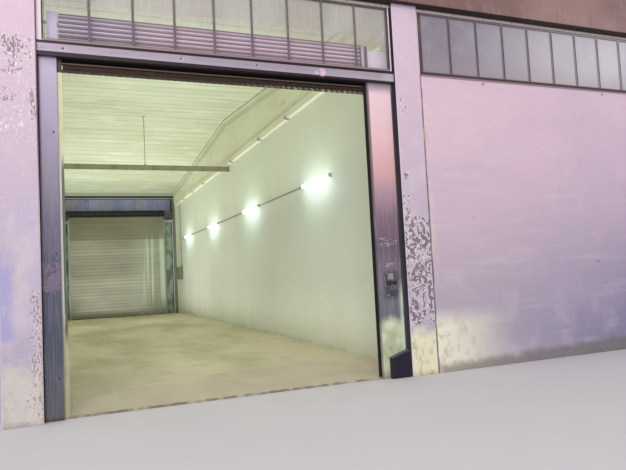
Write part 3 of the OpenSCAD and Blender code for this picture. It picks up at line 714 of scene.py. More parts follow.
def floor_concrete(inside):
    """Smooth worn concrete with stains, drag marks and a ragged edge at the doors, and painted daylight
    near the front door.
    """
    finish = Finish("floor_concrete")
    finish.base = finish.noise(1.8, (1, 0.5, 1)).rise(0.38, 0.66).mix(inside.floor, (176, 168, 134))
    finish.coat(finish.noise(0.5, detail=5, rough=0.65).rise(0.5, 0.7), (158, 150, 118), 0.4)
    finish.coat(finish.noise(0.16, (1, 0.06, 1)).rise(0.58, 0.75), (222, 216, 188), 0.35)
    finish.coat(finish.noise(0.2, (0.1, 1, 1)).rise(0.62, 0.76), (214, 206, 176), 0.25)
    # Painted daylight: more neutral near the front door
    near = finish.y.rise(-8.0, -10.9)
    finish.coat(near, (202, 189, 173), 0.6)
    finish.coat(finish.y.rise(5.0, 10.5), (146, 136, 108), 0.3)
    lines = finish.noise(0.05, (0.08, 1, 1)).rise(0.52, 0.74)
    finish.coat(lines, (228, 220, 190), 0.4)
    spots = finish.noise(0.05, detail=2).rise(0.73, 0.77)
    finish.coat(spots, (92, 84, 66), 0.7)
    rings = finish.noise(0.9, (0.6, 1, 1)).rise(0.6, 0.72)
    finish.coat(rings, (156, 144, 112), 0.25)
    crack_line = finish.cells(3.1, (1, 0.6, 1), "DISTANCE_TO_EDGE").rise(0.0016, 0.0006)
    finish.coat(crack_line, (110, 102, 80), 0.5)
    edge = (finish.y.size() + finish.noise(0.12, detail=4) * 0.34).rise(11.08, 11.17)
    finish.coat(edge, (104, 92, 82), 0.7)
    grain = finish.noise(0.008)
    finish.coat(grain.rise(0.45, 0.75), (150, 144, 118), 0.15)
    rough = 0.36 + 0.3 * finish.noise(0.6, (1, 0.6, 1)) + 0.2 * edge
    height = 0.0004 * grain - 0.003 * edge - 0.001 * crack_line
    return finish.done(rough, height)


def beam_paint(inside, paint):
    """Painted precast beams, browner where the paint is thin, with painted light on their undersides and
    painted shade in two lines near their tops.
    """
    finish = Finish("beam_paint")
    finish.base = finish.noise(1.6, (1, 0.4, 1)).rise(0.4, 0.66).mix(inside.beam, (220, 218, 190))
    finish.coat(finish.noise(0.22, (1, 0.3, 1), 4).rise(0.56, 0.72), (180, 166, 138), 0.3)
    under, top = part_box("roof_beam_middle")
    # Painted light on the beam's underside
    finish.coat(finish.z.rise(under.z + 0.012, under.z + 0.004), (250, 250, 236), 0.8)
    boards = ((finish.z / BOARD_PITCH).rest() - 0.5).size().rise(0.47, 0.49)
    finish.coat(boards, (150, 146, 116), 0.25)
    # Painted shade: a dark line at the beam's top and another 0.15 to 0.2 m below it
    below = top.z - finish.y.size() * ((top.z - BEAM_END_TOP) / top.y) - finish.z
    finish.coat(below.band(-0.02, 0.022, 0.012), (118, 110, 84), 0.75)
    finish.coat(below.band(0.145, 0.2, 0.012), (130, 124, 96), 0.5)
    pores = finish.noise(0.018, detail=2).rise(0.72, 0.76)
    finish.coat(pores, (120, 112, 90), 0.5)
    outer = finish.x.size().rise(PIER_PITCH + 0.02, PIER_PITCH + 0.04)
    weather = finish.noise(0.5, (1, 0.5, 0.6), 4).rise(0.4, 0.68).mix(paint.fascia, (186, 160, 160))
    weather = finish.noise(0.06, (1, 1, 0.04)).rise(0.52, 0.74).over(weather, (98, 80, 80), 0.45)
    finish.coat(outer, weather, 1.0)
    height = 0.0012 * finish.noise(0.02) - 0.002 * pores - 0.001 * boards
    return finish.done(0.78, height)


def ceiling_paint(inside):
    """Painted planks with fine ribs across the span."""
    finish = Finish("ceiling_paint")
    finish.base = finish.noise(2.2, (0.5, 1, 1), 2).rise(0.4, 0.65).mix(inside.ceiling, (214, 218, 188))
    rib = finish.y / RIB_PITCH
    tone = finish.chance(rib.whole())
    finish.coat(tone.rise(0.55, 1.0), (196, 201, 168), 0.35)
    groove = (rib.rest() - 0.5).size().rise(0.42, 0.5)
    finish.coat(groove, (170, 175, 140), 0.45)
    seam = ((finish.y / SEAM_PITCH).rest() - 0.5).size().rise(0.36, 0.46)
    finish.coat(seam, (172, 176, 138), 0.4)
    finish.coat(finish.noise(0.06, (0.05, 1, 1)).rise(0.5, 0.78), (184, 189, 152), 0.3)
    finish.coat(finish.noise(0.5, (0.5, 1, 1)).rise(0.5, 0.68), (238, 244, 222), 0.5)
    drip = finish.noise(0.35, detail=4).rise(0.66, 0.76)
    finish.coat(drip, (190, 184, 136), 0.4)
    height = 0.0008 * finish.noise(0.02) - 0.002 * groove
    return finish.done(0.7, height)


def fascia_paint(paint):
    """Brown-pink painted concrete with rain streaks, and a dark bottom edge that is painted shade of the
    soffit.
    """
    finish = Finish("fascia_paint")
    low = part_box("eaves_beam_front")[0].z
    finish.base = finish.noise(1.5, (0.4, 1, 1)).rise(0.38, 0.66).mix(paint.fascia, (168, 138, 133))
    streaks = finish.noise(0.08, (1, 1, 0.12), 4)
    finish.coat(streaks.rise(0.52, 0.76), (112, 86, 84), 0.3)
    finish.coat(finish.noise(0.3, (1, 1, 0.6), 5, 0.66).rise(0.52, 0.7), (184, 160, 156), 0.35)
    # Painted shade of the soffit along the bottom edge
    finish.coat(finish.z.rise(low + 0.02, low + 0.004), (30, 10, 14), 0.92)
    top = finish.z.rise(low + 0.62, low + 0.75)
    finish.coat(top * streaks.rise(0.35, 0.6), (96, 88, 84), 0.55)
    trough = finish.y.size().rise(11.075, 11.06) * finish.z.rise(low + 0.08, low + 0.12)
    finish.coat(trough, (92, 88, 84), 0.8)
    inner = finish.y.size().rise(10.95, 10.93) * finish.x.size().rise(PIER_PITCH + 0.1, PIER_PITCH)
    finish.coat(inner, finish.z.rise(low + 0.06, low + 0.08).mix((30, 36, 30), (174, 179, 169)), 1.0)
    pores = finish.noise(0.02).rise(0.7, 0.76)
    finish.coat(pores, (88, 68, 68), 0.6)
    height = 0.0012 * finish.noise(0.012) - 0.002 * pores
    return finish.done(0.8, height)


def sill_paint():
    """Brown-grey concrete sill with a worn pale nose."""
    finish = Finish("sill_paint")
    finish.base = finish.noise(0.25, (0.4, 1, 1), 4).mix((92, 72, 78), (134, 110, 114))
    top = finish.z.rise(4.62, 4.636)
    finish.coat(top, (70, 54, 58), 0.6)
    nose = finish.z.rise(4.618, 4.608)
    finish.coat(nose, (180, 154, 156), 0.75)
    return finish.done(0.8, 0.0015 * finish.noise(0.01))


def felt(metal):
    """Mineral felt in strips, each a little different, with dust and rain marks."""
    finish = Finish("felt")
    strip = (finish.x / metal.felt_w).whole()
    finish.base = finish.chance(strip).mix((84, 86, 90), (112, 112, 112))
    grit = finish.noise(0.004, detail=2)
    finish.coat(grit.rise(0.45, 0.7), (150, 150, 148), 0.4)
    finish.coat(finish.noise(1.3, detail=4).rise(0.5, 0.7), (142, 136, 122), 0.45)
    finish.coat(finish.noise(0.12, (1, 0.05, 1)).rise(0.55, 0.75), (70, 72, 74), 0.35)
    return finish.done(0.9, 0.0012 * grit)


def zinc(metal, name="zinc", tint=None, metallic=0.55):
    """Galvanised steel with spangle, dull streaks and a little rust."""
    finish = Finish(name)
    tint = tint or metal.zinc
    spangle = finish.cells(0.018)
    finish.base = spangle.rise(0.1, 0.7).over(tint, (196, 198, 198), 0.35)
    finish.coat(finish.noise(0.25, (1, 1, 0.3), 4).rise(0.45, 0.7), (126, 124, 118), 0.45)
    rust = finish.noise(0.09, detail=5, rough=0.7).rise(0.66, 0.74)
    finish.coat(rust, (118, 82, 58), 0.55)
    rough = 0.38 + 0.25 * spangle + 0.3 * rust
    return finish.done(rough, 0.0003 * spangle, Metallic=metallic)


def guide_steel():
    """Guide channels: the left one pale cream, partly painted light from the hall, the right one near
    black, which is painted shadow.
    """
    finish = Finish("guide_steel")
    # The right guide's near black is painted shadow; the left one's pale cream is partly painted light from
    # the hall
    left = finish.x.rise(-2.0, -3.0)
    cream = finish.z.rise(2.8, 3.5).mix((226, 228, 220), (210, 214, 172))
    cream = finish.z.rise(1.4, 1.0).over(cream, (196, 188, 154), 1.0)
    inner = finish.x.rise(-4.982, -4.974) * finish.z.band(1.1, 3.0, 0.3)
    cream = inner.over(cream, (92, 98, 82), 0.95)
    finish.base = left.mix((12, 10, 12), cream)
    # Painted shade on the left guide under the header
    finish.coat(finish.z.rise(4.265, 4.275) * left, (34, 26, 22), 0.95)
    finish.coat(finish.noise(0.03, (1, 1, 0.1)).rise(0.55, 0.72), (96, 94, 84), 0.3)
    rub = finish.noise(0.012, (1, 1, 0.03), 2).rise(0.62, 0.74)
    finish.coat(rub * left, (238, 240, 222), 0.6)
    return finish.done(0.4 + 0.25 * finish.noise(0.05), 0.0003 * rub, Metallic=0.25)


def header_enamel(metal):
    """Lilac-grey enamel of the door header, chipped round the bolts and dabbed with pink paint, with
    painted shadow lines along its top and foot.
    """
    finish = Finish("header_enamel")
    low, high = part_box("door_header_front")
    finish.base = finish.x.rise(-3.6, -0.6).mix(metal.enamel, (170, 159, 170))
    finish.coat(finish.noise(0.5, (0.3, 1, 1)).rise(0.45, 0.68), (200, 184, 198), 0.5)
    finish.coat(finish.z.rise(low.z + 0.11, low.z + 0.04), (196, 192, 210), 0.35)
    scuffs = finish.noise(0.02, (0.08, 1, 1)).rise(0.58, 0.72)
    finish.coat(scuffs, (140, 124, 140), 0.45)
    end = finish.x.rise(high.x - 0.3, high.x - 0.04)
    finish.coat(end, (214, 206, 216), 0.6)
    front = finish.y.rise(-10.9, -11.0)
    along = (finish.x - low.x) * front
    # Painted shadow: dark lines along the top and the foot of the header
    top = high.z - 0.024 - 0.01 * front - 0.002 * along
    foot = low.z + 0.014 + 0.042 * front - 0.0055 * along
    rims = (finish.z - top).rise(-0.004, 0.004).maximum((finish.z - foot).rise(0.004, -0.004))
    finish.coat(rims, (24, 10, 18), 0.95)
    dab = finish.spot(-1.42, 4.53, 0.056).maximum(0.7 * finish.spot(-1.5, 4.525, 0.034))
    dab = dab * finish.noise(0.035, detail=4).rise(0.3, 0.56) * front
    finish.coat(dab, (255, 214, 232), 0.85)
    chips = finish.x * 0.0
    for across in header_bolts_across():
        chips = chips.maximum(finish.spot(across + 0.014, 4.55, 0.022))
    chips = chips * finish.noise(0.012).rise(0.42, 0.52) * front
    finish.coat(chips, (232, 222, 228), 0.5)
    rust = finish.noise(0.05, (1, 1, 0.5), 5, 0.7).rise(0.68, 0.76)
    finish.coat(rust, (120, 84, 70), 0.5)
    height = 0.0004 * (scuffs + chips) + 0.0006 * dab
    return finish.done(0.42 + 0.2 * scuffs, height, Metallic=0.15, Specular_IOR_Level=0.25)


def jamb_left_enamel():
    """Enamel of the left jamb: lilac at the top, slate where goods and hands have rubbed it, with painted
    shadow under the header and at its left edge.
    """
    finish = Finish("jamb_left_enamel")
    finish.base = finish.heights((
        (4.45, (190, 181, 204)), (3.45, (166, 157, 178)), (2.8, (142, 135, 150)), (2.3, (110, 107, 126)),
        (1.9, (84, 86, 104)), (0.9, (80, 87, 104)), (0.0, (100, 104, 108))))
    brush = finish.noise(0.016, (1, 1, 0.03))
    finish.coat(brush.rise(0.45, 0.72), (196, 184, 208), 0.2)
    finish.coat(finish.noise(0.3, (1, 1, 0.5)).rise(0.5, 0.7), (140, 132, 156), 0.3)
    label = finish.patch(-5.2, -5.02, 1.56, 1.87, 0.03) * finish.noise(0.06, detail=4).rise(0.34, 0.5)
    finish.coat(label, (142, 120, 144), 0.7)
    crumbs = finish.noise(0.02).rise(0.62, 0.7) * finish.patch(-5.2, -5.02, 1.52, 2.0, 0.05)
    finish.coat(crumbs, (200, 182, 206), 0.8)
    rim = finish.x.rise(-5.035, -5.012) * finish.z.rise(3.6, 2.6)
    finish.coat(rim, (108, 92, 112), 0.35)
    # Dark line at the left edge, partly painted shadow of the pier's chamfer
    seam = finish.x.rise(-5.192, -5.208) * finish.z.rise(1.6, 3.4)
    finish.coat(seam, (72, 48, 66), 0.75)
    # Painted shadow under the header
    finish.coat(finish.z.rise(4.3, 4.44), (132, 122, 146), 0.4)
    foot = (finish.z + finish.noise(0.06) * 0.1).rise(0.12, 0.05)
    finish.coat(foot, (70, 62, 60), 0.7)
    return finish.done(0.4 + 0.2 * brush, 0.0004 * brush, Metallic=0.2)


def jamb_right_enamel():
    """Enamel of the right jamb: pink to orange at the top, grey lower down, its colours partly painted
    reflection, with painted light at the foot and painted shadow under the header and along its right edge.
    """
    finish = Finish("jamb_right_enamel")
    # Colours by height, partly painted reflection on the steel
    finish.base = finish.heights((
        (4.45, (255, 230, 238)), (3.6, (253, 210, 213)), (3.05, (232, 180, 180)), (2.75, (190, 156, 168)),
        (2.4, (140, 118, 132)), (2.0, (112, 97, 113)), (1.5, (128, 118, 132)), (1.0, (112, 118, 127)),
        (0.0, (118, 120, 122))))
    brush = finish.noise(0.02, (1, 1, 0.04))
    finish.coat(brush.rise(0.45, 0.7), (246, 218, 222), 0.14)
    lines = finish.noise(0.008, (0.06, 1, 1)).rise(0.56, 0.7) * finish.z.band(2.3, 4.2, 0.4)
    finish.coat(lines, (206, 140, 148), 0.25)
    strokes = finish.noise(0.02, (0.3, 1, 1), 4).rise(0.56, 0.62)
    pale = finish.patch(-0.62, -0.32, 1.96, 2.07, 0.02).maximum(finish.patch(-0.64, -0.3, 1.655, 1.7, 0.01))
    finish.coat(strokes * pale, (206, 192, 204), 0.8)
    smear = finish.patch(-0.54, -0.36, 1.2, 1.54, 0.08) * finish.noise(0.05).rise(0.34, 0.56)
    finish.coat(smear, (50, 56, 74), 0.75)
    spots = finish.noise(0.022, (1, 1, 0.8)).rise(0.58, 0.62) * finish.patch(-0.53, -0.38, 1.22, 1.5, 0.03)
    finish.coat(spots, (16, 16, 26), 0.9)
    wobble = finish.noise(0.16, (1, 1, 0.6)) * 0.2
    # Painted light on the jamb's foot, palest at its right edge
    splash = (finish.z + wobble).rise(1.02, 0.88)
    tone = finish.noise(0.2, (1, 1, 0.7)).rise(0.35, 0.65).mix((192, 208, 166), (236, 238, 206))
    finish.coat(splash, tone, 0.95)
    right = (finish.x + 0.1 * wobble).rise(-0.35, -0.27) * finish.z.rise(1.5, 1.15)
    finish.coat(right, (226, 242, 224), 0.85)
    stains = finish.noise(0.07, (1, 1, 0.7)).rise(0.58, 0.68) * finish.z.rise(1.3, 0.9)
    finish.coat(stains, (140, 146, 116), 0.5)
    left = finish.x.rise(-0.65, -0.662) * finish.z.rise(2.4, 1.6)
    finish.coat(left, (104, 94, 102), 0.5)
    dull = finish.x.rise(-0.646, -0.652) * finish.z.rise(2.1, 2.6)
    finish.coat(dull, (128, 114, 112), 0.9)
    # Painted shadow along the right edge, next to the pier
    finish.coat(finish.x.rise(-0.275, -0.271), (44, 32, 44), 0.92)
    # Painted shadow under the header
    finish.coat(finish.z.rise(4.26, 4.42), (142, 124, 136), 0.8)
    foot = (finish.z + wobble * 0.6).rise(0.3, 0.06)
    finish.coat(foot, (136, 132, 104), 0.6)
    rough = 0.38 + 0.24 * brush + 0.2 * splash
    return finish.done(rough, 0.0004 * brush + 0.0005 * splash, Metallic=0.12)


def green_enamel():
    """Dark green enamel of the rear jambs."""
    finish = Finish("green_enamel")
    blots = finish.noise(0.3, (1, 1, 0.5), 4).rise(0.38, 0.62)
    finish.base = blots.mix((40, 56, 50), (112, 130, 110))
    worn = finish.noise(0.5, (1, 1, 0.7)).rise(0.4, 0.6).mix((104, 112, 96), (150, 170, 150))
    finish.coat(finish.x.band(-0.6, -0.3, 0.02), worn, 0.95)
    finish.coat(finish.x.band(-0.28, -0.2, 0.02), (60, 66, 44), 0.95)
    finish.coat(finish.noise(0.02, (1, 1, 0.05)).rise(0.62, 0.74), (150, 162, 146), 0.35)
    return finish.done(0.4 + 0.2 * finish.noise(0.1), 0.0003 * finish.noise(0.01), Metallic=0.2)


def guard_plate():
    """Dark scuffed plate of the wheel guard, rubbed lighter along its top."""
    finish = Finish("guard_plate")
    finish.base = finish.noise(0.2, detail=4).mix((24, 20, 36), (48, 42, 64))
    slope = (finish.x + 0.285).size() * 0.333
    top = (finish.z + slope).rise(0.375, 0.4) * finish.x.rise(-0.22, -0.3)
    finish.coat(top, (130, 122, 134), 0.6)
    scrape = finish.noise(0.012, (0.06, 1, 1)).rise(0.62, 0.72)
    finish.coat(scrape, (96, 88, 108), 0.4)
    return finish.done(0.42 + 0.25 * finish.noise(0.05), 0.0005 * scrape, Metallic=0.3)


def window_paint(metal):
    """Dark aged paint of the ribbon's bars with painted highlights on their sides, paler away from the
    door, and a cream strip at its start.
    """
    finish = Finish("window_paint")
    low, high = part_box("ribbon_frame")
    finish.base = finish.noise(0.1, (1, 1, 0.3), 4).rise(0.35, 0.7).mix(metal.window, (112, 94, 102))
    finish.coat(finish.noise(0.012).rise(0.66, 0.74), (132, 92, 76), 0.5)
    # Pale tone, paler away from the door; on the bars' sides it is a painted highlight
    worn = finish.x.rise(low.x, high.x).mix((132, 120, 132), (212, 206, 210))
    finish.coat(bar_sides(finish, "ribbon_glass", metal.panes), worn, 0.85)
    inner = finish.x.band(low.x + 0.095, high.x - 0.095, 0.001)
    finish.coat(finish.z.band(high.z - 0.06, high.z - 0.012, 0.002) * inner, worn, 0.85)
    finish.coat(finish.z.rise(low.z + 0.034, low.z + 0.028), (66, 50, 50), 0.9)
    finish.coat(finish.x.rise(low.x + 0.038, low.x + 0.032), (255, 236, 228), 1.0)
    return finish.done(0.6, 0.0005 * finish.noise(0.01))


def transom_paint(metal):
    """Mauve bars of the transom with white-pink strips at its two ends, painted highlights on the bars'
    sides and painted shadow in the end bars' rebates.
    """
    finish = Finish("transom_paint")
    low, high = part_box("transom_frame_front")
    tall = finish.z.rise(low.z + 0.3, low.z + 0.55)
    finish.base = tall.mix((112, 92, 110), (104, 102, 92))
    finish.coat(finish.noise(0.1, (1, 1, 0.3), 4).rise(0.35, 0.7), (136, 122, 126), 0.3)
    # Painted highlights on the bars' sides
    sides = bar_sides(finish, "transom_glass_front", metal.panes) * finish.y.rise(-10.0, -11.0)
    finish.coat(sides, tall.mix((160, 138, 156), (180, 178, 164)), 0.8)
    inner = finish.x.band(low.x + 0.06, high.x - 0.05, 0.004)
    strips = finish.x.band(low.x + 0.002, high.x - 0.028, 0.003) * (1 - inner)
    # Dark inner part of the end bars, painted shadow in their rebates
    finish.coat(1 - finish.x.band(low.x + 0.076, high.x - 0.07, 0.001), (44, 28, 38), 0.92)
    finish.coat(strips, (250, 236, 240), 0.95)
    rail = finish.z.rise(low.z + 0.028, low.z + 0.022) * inner
    dusty = finish.noise(0.3, (0.3, 1, 1)).mix((146, 122, 126), (184, 160, 164))
    finish.coat(rail, dusty, 0.9)
    finish.coat(finish.y.rise(9.0, 10.0), (32, 36, 40), 0.95)
    return finish.done(0.55, 0.0005 * finish.noise(0.01))


def strip_paint():
    """Pale metal strip above the glazing, with painted shade of the eaves along its top."""
    finish = Finish("strip_paint")
    finish.base = finish.noise(0.4, (0.3, 1, 1)).mix((240, 224, 218), (255, 246, 240))
    finish.coat(finish.noise(0.03, (1, 1, 0.2)).rise(0.6, 0.72), (150, 124, 126), 0.35)
    # Painted shade of the eaves along the top
    top = finish.z.rise(5.68, 5.69)
    finish.coat(top, (60, 44, 46), 0.8)
    return finish.done(0.5, 0.0004 * finish.noise(0.01), Metallic=0.2)


def bearing_paint():
    """Pale paint of the bearings and of the drive cover, dark at the rear."""
    finish = Finish("bearing_paint")
    finish.base = finish.x.rise(-3.0, -2.0).mix((226, 218, 248), (255, 244, 255))
    finish.coat(finish.noise(0.12, (1, 1, 0.5), 4).rise(0.5, 0.7), (214, 198, 212), 0.4)
    finish.coat(finish.y.rise(9.0, 10.0), (40, 42, 46), 0.95)
    return finish.done(0.5, 0.0003 * finish.noise(0.01))


def strap_paint(left, right):
    """Lilac paint of the coil's strap, rubbed dark along its two edges."""
    finish = Finish("strap_paint")
    edges = 1 - finish.x.band(left + 0.022, right - 0.022, 0.004)
    finish.base = finish.noise(0.05, (1, 1, 0.4)).mix((196, 180, 204), (226, 208, 226))
    finish.coat(edges, (70, 50, 72), 0.85)
    return finish.done(0.5, 0.0003 * finish.noise(0.01))


def rolled_slats(metal):
    """Pink-lilac slats of the rolled curtain, with dust in their joints, a painted highlight and painted
    shade on each slat, and a dark lower end: near black under the header as painted shadow, then a dark
    brown bar, partly painted shade.
    """
    finish = Finish("rolled_slats")
    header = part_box("door_header_front")
    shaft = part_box("shutter_front")[1].z - metal.coil_r
    finish.base = finish.x.rise(-4.6, -3.2).mix((170, 158, 182), metal.slats)
    finish.coat(finish.noise(0.5, (0.12, 1, 1)).rise(0.45, 0.7), (206, 176, 194), 0.4)
    finish.coat(finish.x.rise(-2.6, -0.9), (238, 204, 208), 0.45)
    turn = ((shaft - finish.z) / metal.slat_h + 0.5).rest()
    # Painted shade on the lower part of each slat and a painted highlight on its top
    finish.coat(turn.rise(0.35, 0.85), (118, 94, 118), 0.8)
    finish.coat(turn.band(0.06, 0.26, 0.08), (255, 246, 255), 0.8)
    low = finish.z.rise(header[1].z + 0.2, header[1].z + 0.04)
    darker_tone = finish.x.rise(-3.4, -4.6).mix((150, 116, 120), (112, 98, 96))
    finish.coat(low, darker_tone, 0.75)
    joint = (turn - 0.5).size().rise(0.42, 0.47)
    finish.coat(joint, (78, 56, 80), 0.85)
    dust = finish.noise(0.02, (0.06, 1, 1)).rise(0.52, 0.72)
    finish.coat(dust, (150, 126, 146), 0.2)
    # Painted shadow of the header, near black, just under it
    under = finish.z.rise(header[0].z + 0.03, header[0].z)
    header_shadow = finish.noise(0.05, (0.2, 1, 1)).mix((6, 5, 6), (22, 17, 16))
    finish.coat(under, header_shadow, 1.0)
    line = finish.z.band(header[0].z - 0.058, header[0].z - 0.044, 0.004)
    finish.coat(line, (140, 122, 104), 0.85)
    # Dark brown bottom bar, partly painted shade
    bar = finish.z.rise(header[0].z - 0.076, header[0].z - 0.084)
    brown = finish.noise(0.05, (0.5, 1, 1), 4).mix((24, 18, 15), (80, 66, 54))
    finish.coat(bar, brown, 0.95)
    return finish.done(0.45 + 0.2 * dust, 0.0003 * dust, Metallic=0.1, Specular_IOR_Level=0.1)


def closed_slats(inside):
    """Dull galvanised slats of the closed curtains, with painted light and painted reflections of the lamps
    towards the right, painted shade above the height of the wall lights, and dark where they wind on to the
    shaft, partly painted shade.
    """
    finish = Finish("closed_slats")
    finish.base = finish.noise(0.9, (0.3, 1, 1), 2).rise(0.35, 0.65).mix(inside.rear_slats, (132, 130, 112))
    slat = (finish.z - REAR_SLAT_FOOT) / REAR_SLAT_H
    tone = finish.chance(slat.whole())
    finish.coat(tone.rise(0.35, 0.9), (112, 111, 92), 0.16)
    finish.coat(tone.rise(0.3, 0.05), (180, 180, 160), 0.16)
    finish.coat((slat.rest() - 0.5).size().rise(0.38, 0.5), (88, 86, 72), 0.3)
    pair = ((slat * 0.5).rest() - 0.5).size()
    finish.coat(pair.rise(0.25, 0.45), (98, 97, 82), 0.4)
    # Painted light on a band towards the right, with painted reflections of the lamps as pale upright
    # streaks
    lit = finish.x.band(-1.5, -0.7, 1.2)
    finish.coat(lit, (190, 198, 178), 0.32)
    sheen = finish.noise(0.13, (1, 1, 0.03), 2).rise(0.44, 0.7).maximum(finish.x.band(-0.84, -0.7, 0.1))
    sheen = sheen * finish.x.band(-1.3, -0.7, 0.7) * finish.z.band(1.0, 3.5, 0.8)
    finish.coat(sheen, (226, 242, 220), 0.5)
    # Painted shade above the height of the wall lights
    finish.coat(finish.z.rise(3.64, 3.68), (112, 108, 86), 0.6)
    # Dark where the slats wind on to the shaft, partly painted shade
    coil_dirt_and_shade = finish.z.rise(4.72, 4.79)
    finish.coat(coil_dirt_and_shade, (30, 32, 36), 0.95)
    scratch = finish.noise(0.008, (0.3, 1, 0.05), 2).rise(0.68, 0.75)
    finish.coat(scratch, (190, 190, 176), 0.4)
    foot = finish.z.rise(0.3, 0.08) * finish.noise(0.1).rise(0.35, 0.65)
    finish.coat(foot, (96, 90, 72), 0.5)
    bow = slat.rest() - 0.5
    rough = 0.34 + 0.14 * finish.noise(0.2, (0.3, 1, 1)) + 0.4 * coil_dirt_and_shade
    return finish.done(rough, 0.0003 * scratch - 0.005 * (bow * bow), Metallic=0.4)


def pane_tones(finish, glass, panes):
    """A random value for each pane of a band."""
    low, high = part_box(glass)
    return finish.chance(((finish.x - low.x) / ((high.x - low.x) / panes)).whole())


def bar_sides(finish, glass, panes):
    """The side faces of a band's glazing bars."""
    low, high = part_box(glass)
    pitch = (high.x - low.x) / panes
    off = (((finish.x - low.x) / pitch + 0.5).rest() - 0.5).size() * pitch
    return (off - BAR_W / 2).size().rise(0.0009, 0.0005)


def ribbon_glass(metal):
    """Milky rolled glass that grows paler away from the door, partly painted reflection of the sky, each
    pane a little different.
    """
    finish = Finish("ribbon_glass")
    low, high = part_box("ribbon_glass")
    # Paler away from the door, partly painted reflection of the sky
    finish.base = finish.x.rise(low.x, high.x - 0.4).mix((150, 139, 151), (244, 240, 243))
    tone = pane_tones(finish, "ribbon_glass", metal.panes)
    finish.coat(tone, (166, 174, 184), 0.25)
    finish.coat(finish.noise(0.5).rise(0.45, 0.68), (188, 196, 200), 0.25)
    finish.coat(finish.z.rise(low.z + 0.45, low.z), (190, 174, 170), 0.35)
    finish.coat(finish.z.rise(low.z + 0.04, low.z + 0.01), (84, 68, 66), 0.8)
    ripple = finish.noise(0.012, (1, 1, 0.3), 2)
    finish.coat(finish.noise(0.02, (1, 1, 0.05)).rise(0.58, 0.75), (226, 218, 220), 0.2)
    return finish.done(0.2 + 0.2 * ripple, 0.0004 * ripple, Alpha=0.96)


def transom_glass(metal, name, pale, deep, alpha, haze):
    """Dusty glass of a transom with faint upright streaks, hazier towards its top."""
    finish = Finish(name)
    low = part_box("transom_glass_front")[0]
    tone = pane_tones(finish, "transom_glass_front", metal.panes)
    finish.base = finish.noise(0.7, (1, 1, 0.5)).rise(0.4, 0.66).mix(pale, deep)
    finish.coat(finish.x.rise(low.x + 0.9, low.x + 0.4), (132, 124, 136), 0.6)
    finish.coat(tone.rise(0.4, 1.0), (206, 192, 188), 0.3)
    streaks = finish.noise(0.025, (1, 1, 0.03))
    finish.coat(streaks.rise(0.5, 0.75), (216, 214, 204), 0.4)
    top = (finish.z + 0.2 * finish.noise(0.5, (1, 1, 0.6))).rise(low.z + 0.36, low.z + 0.72)
    clear = alpha + haze * top + 0.12 * top * streaks.rise(0.45, 0.8)
    finish.place.feed(finish.shader.inputs["Alpha"], clear)
    return finish.done(0.12 + 0.2 * streaks, 0.0003 * streaks)


def brushed_plate():
    """Brushed plate of the key switch."""
    finish = Finish("brushed_plate")
    brush = finish.noise(0.003, (0.05, 1, 1), 2)
    finish.base = brush.mix((150, 150, 152), (206, 206, 206))
    return finish.done(0.3 + 0.2 * brush, 0.0001 * brush, Metallic=0.8)


def lit_diffuser():
    """White diffuser with the tube's light behind it."""
    finish = Finish("lit_diffuser")
    rib = ((finish.y / 0.02).rest() - 0.5).size()
    finish.base = rib.mix((236, 240, 230), (250, 252, 246))
    glow = finish.noise(0.4, (1, 0.6, 1), 2).mix((226, 240, 206), (250, 255, 238))
    finish.place.feed(finish.shader.inputs["Emission Color"], glow)
    return finish.done(0.35, 0.0004 * rib, Emission_Strength=3.5)


def plastic(name, tone, darker_tone):
    """Plain moulded plastic with dust."""
    finish = Finish(name)
    finish.base = finish.noise(0.06, detail=4).rise(0.45, 0.7).over(tone, darker_tone, 0.4)
    return finish.done(0.5 + 0.15 * finish.noise(0.03), 0.0002 * finish.noise(0.004))


def rubber():
    """Black rubber with dust."""
    finish = Finish("rubber")
    finish.base = finish.noise(0.03, detail=4).rise(0.5, 0.7).over((10, 9, 10), (44, 38, 36), 0.5)
    return finish.done(0.75, 0.0003 * finish.noise(0.004))


def lip_rubber(metal):
    """Brown dusty lip under the rolled curtain, with painted light on its waves towards the right."""
    finish = Finish("lip_rubber")
    finish.base = finish.noise(0.03, (0.4, 1, 1)).mix((26, 20, 16), (88, 74, 58))
    wave = ((finish.x + 0.8 * finish.z) / metal.tooth_w).rest()
    # Painted light on the waves towards the right
    lit = wave.band(0.3, 0.6, 0.25) * finish.x.rise(-2.9, -1.7) * finish.noise(0.05).rise(0.35, 0.6)
    finish.coat(lit, (196, 196, 164), 0.6)
    return finish.done(0.7, 0.0003 * finish.noise(0.006))


def dark_steel():
    """Dark greased steel."""
    finish = Finish("dark_steel")
    finish.base = finish.noise(0.02).mix((40, 38, 36), (88, 82, 74))
    return finish.done(0.45, 0.0003 * finish.noise(0.005), Metallic=0.5)


def brass():
    """Dull brass."""
    finish = Finish("brass")
    finish.base = finish.noise(0.008).mix((70, 62, 48), (118, 104, 76))
    return finish.done(0.5, 0.0001 * finish.noise(0.003), Metallic=0.4)


def mastic():
    """Dark sealing compound in a joint, with dust and yellowish stains."""
    finish = Finish("mastic")
    finish.base = finish.noise(0.08, (1, 1, 0.4), 4).rise(0.35, 0.7).mix((112, 88, 112), (158, 132, 154))
    stain = finish.z.band(3.57, 3.74, 0.04)
    finish.coat(stain, (196, 196, 132), 0.7)
    return finish.done(0.75, 0.0008 * finish.noise(0.01))


def paint_chip(paint):
    """Loose paint, paler at its torn rims."""
    finish = Finish("paint_chip")
    finish.base = finish.noise(0.02).rise(0.35, 0.65).mix(paint.pier_high, paint.undercoat)
    return finish.done(0.7, 0.0003 * finish.noise(0.004))


def pale_ground():
    """The plain pale floor that the building stands on."""
    finish = Finish("pale_ground")
    finish.base = finish.noise(1.5).mix((214, 212, 214), (222, 220, 221))
    return finish.done(0.9)


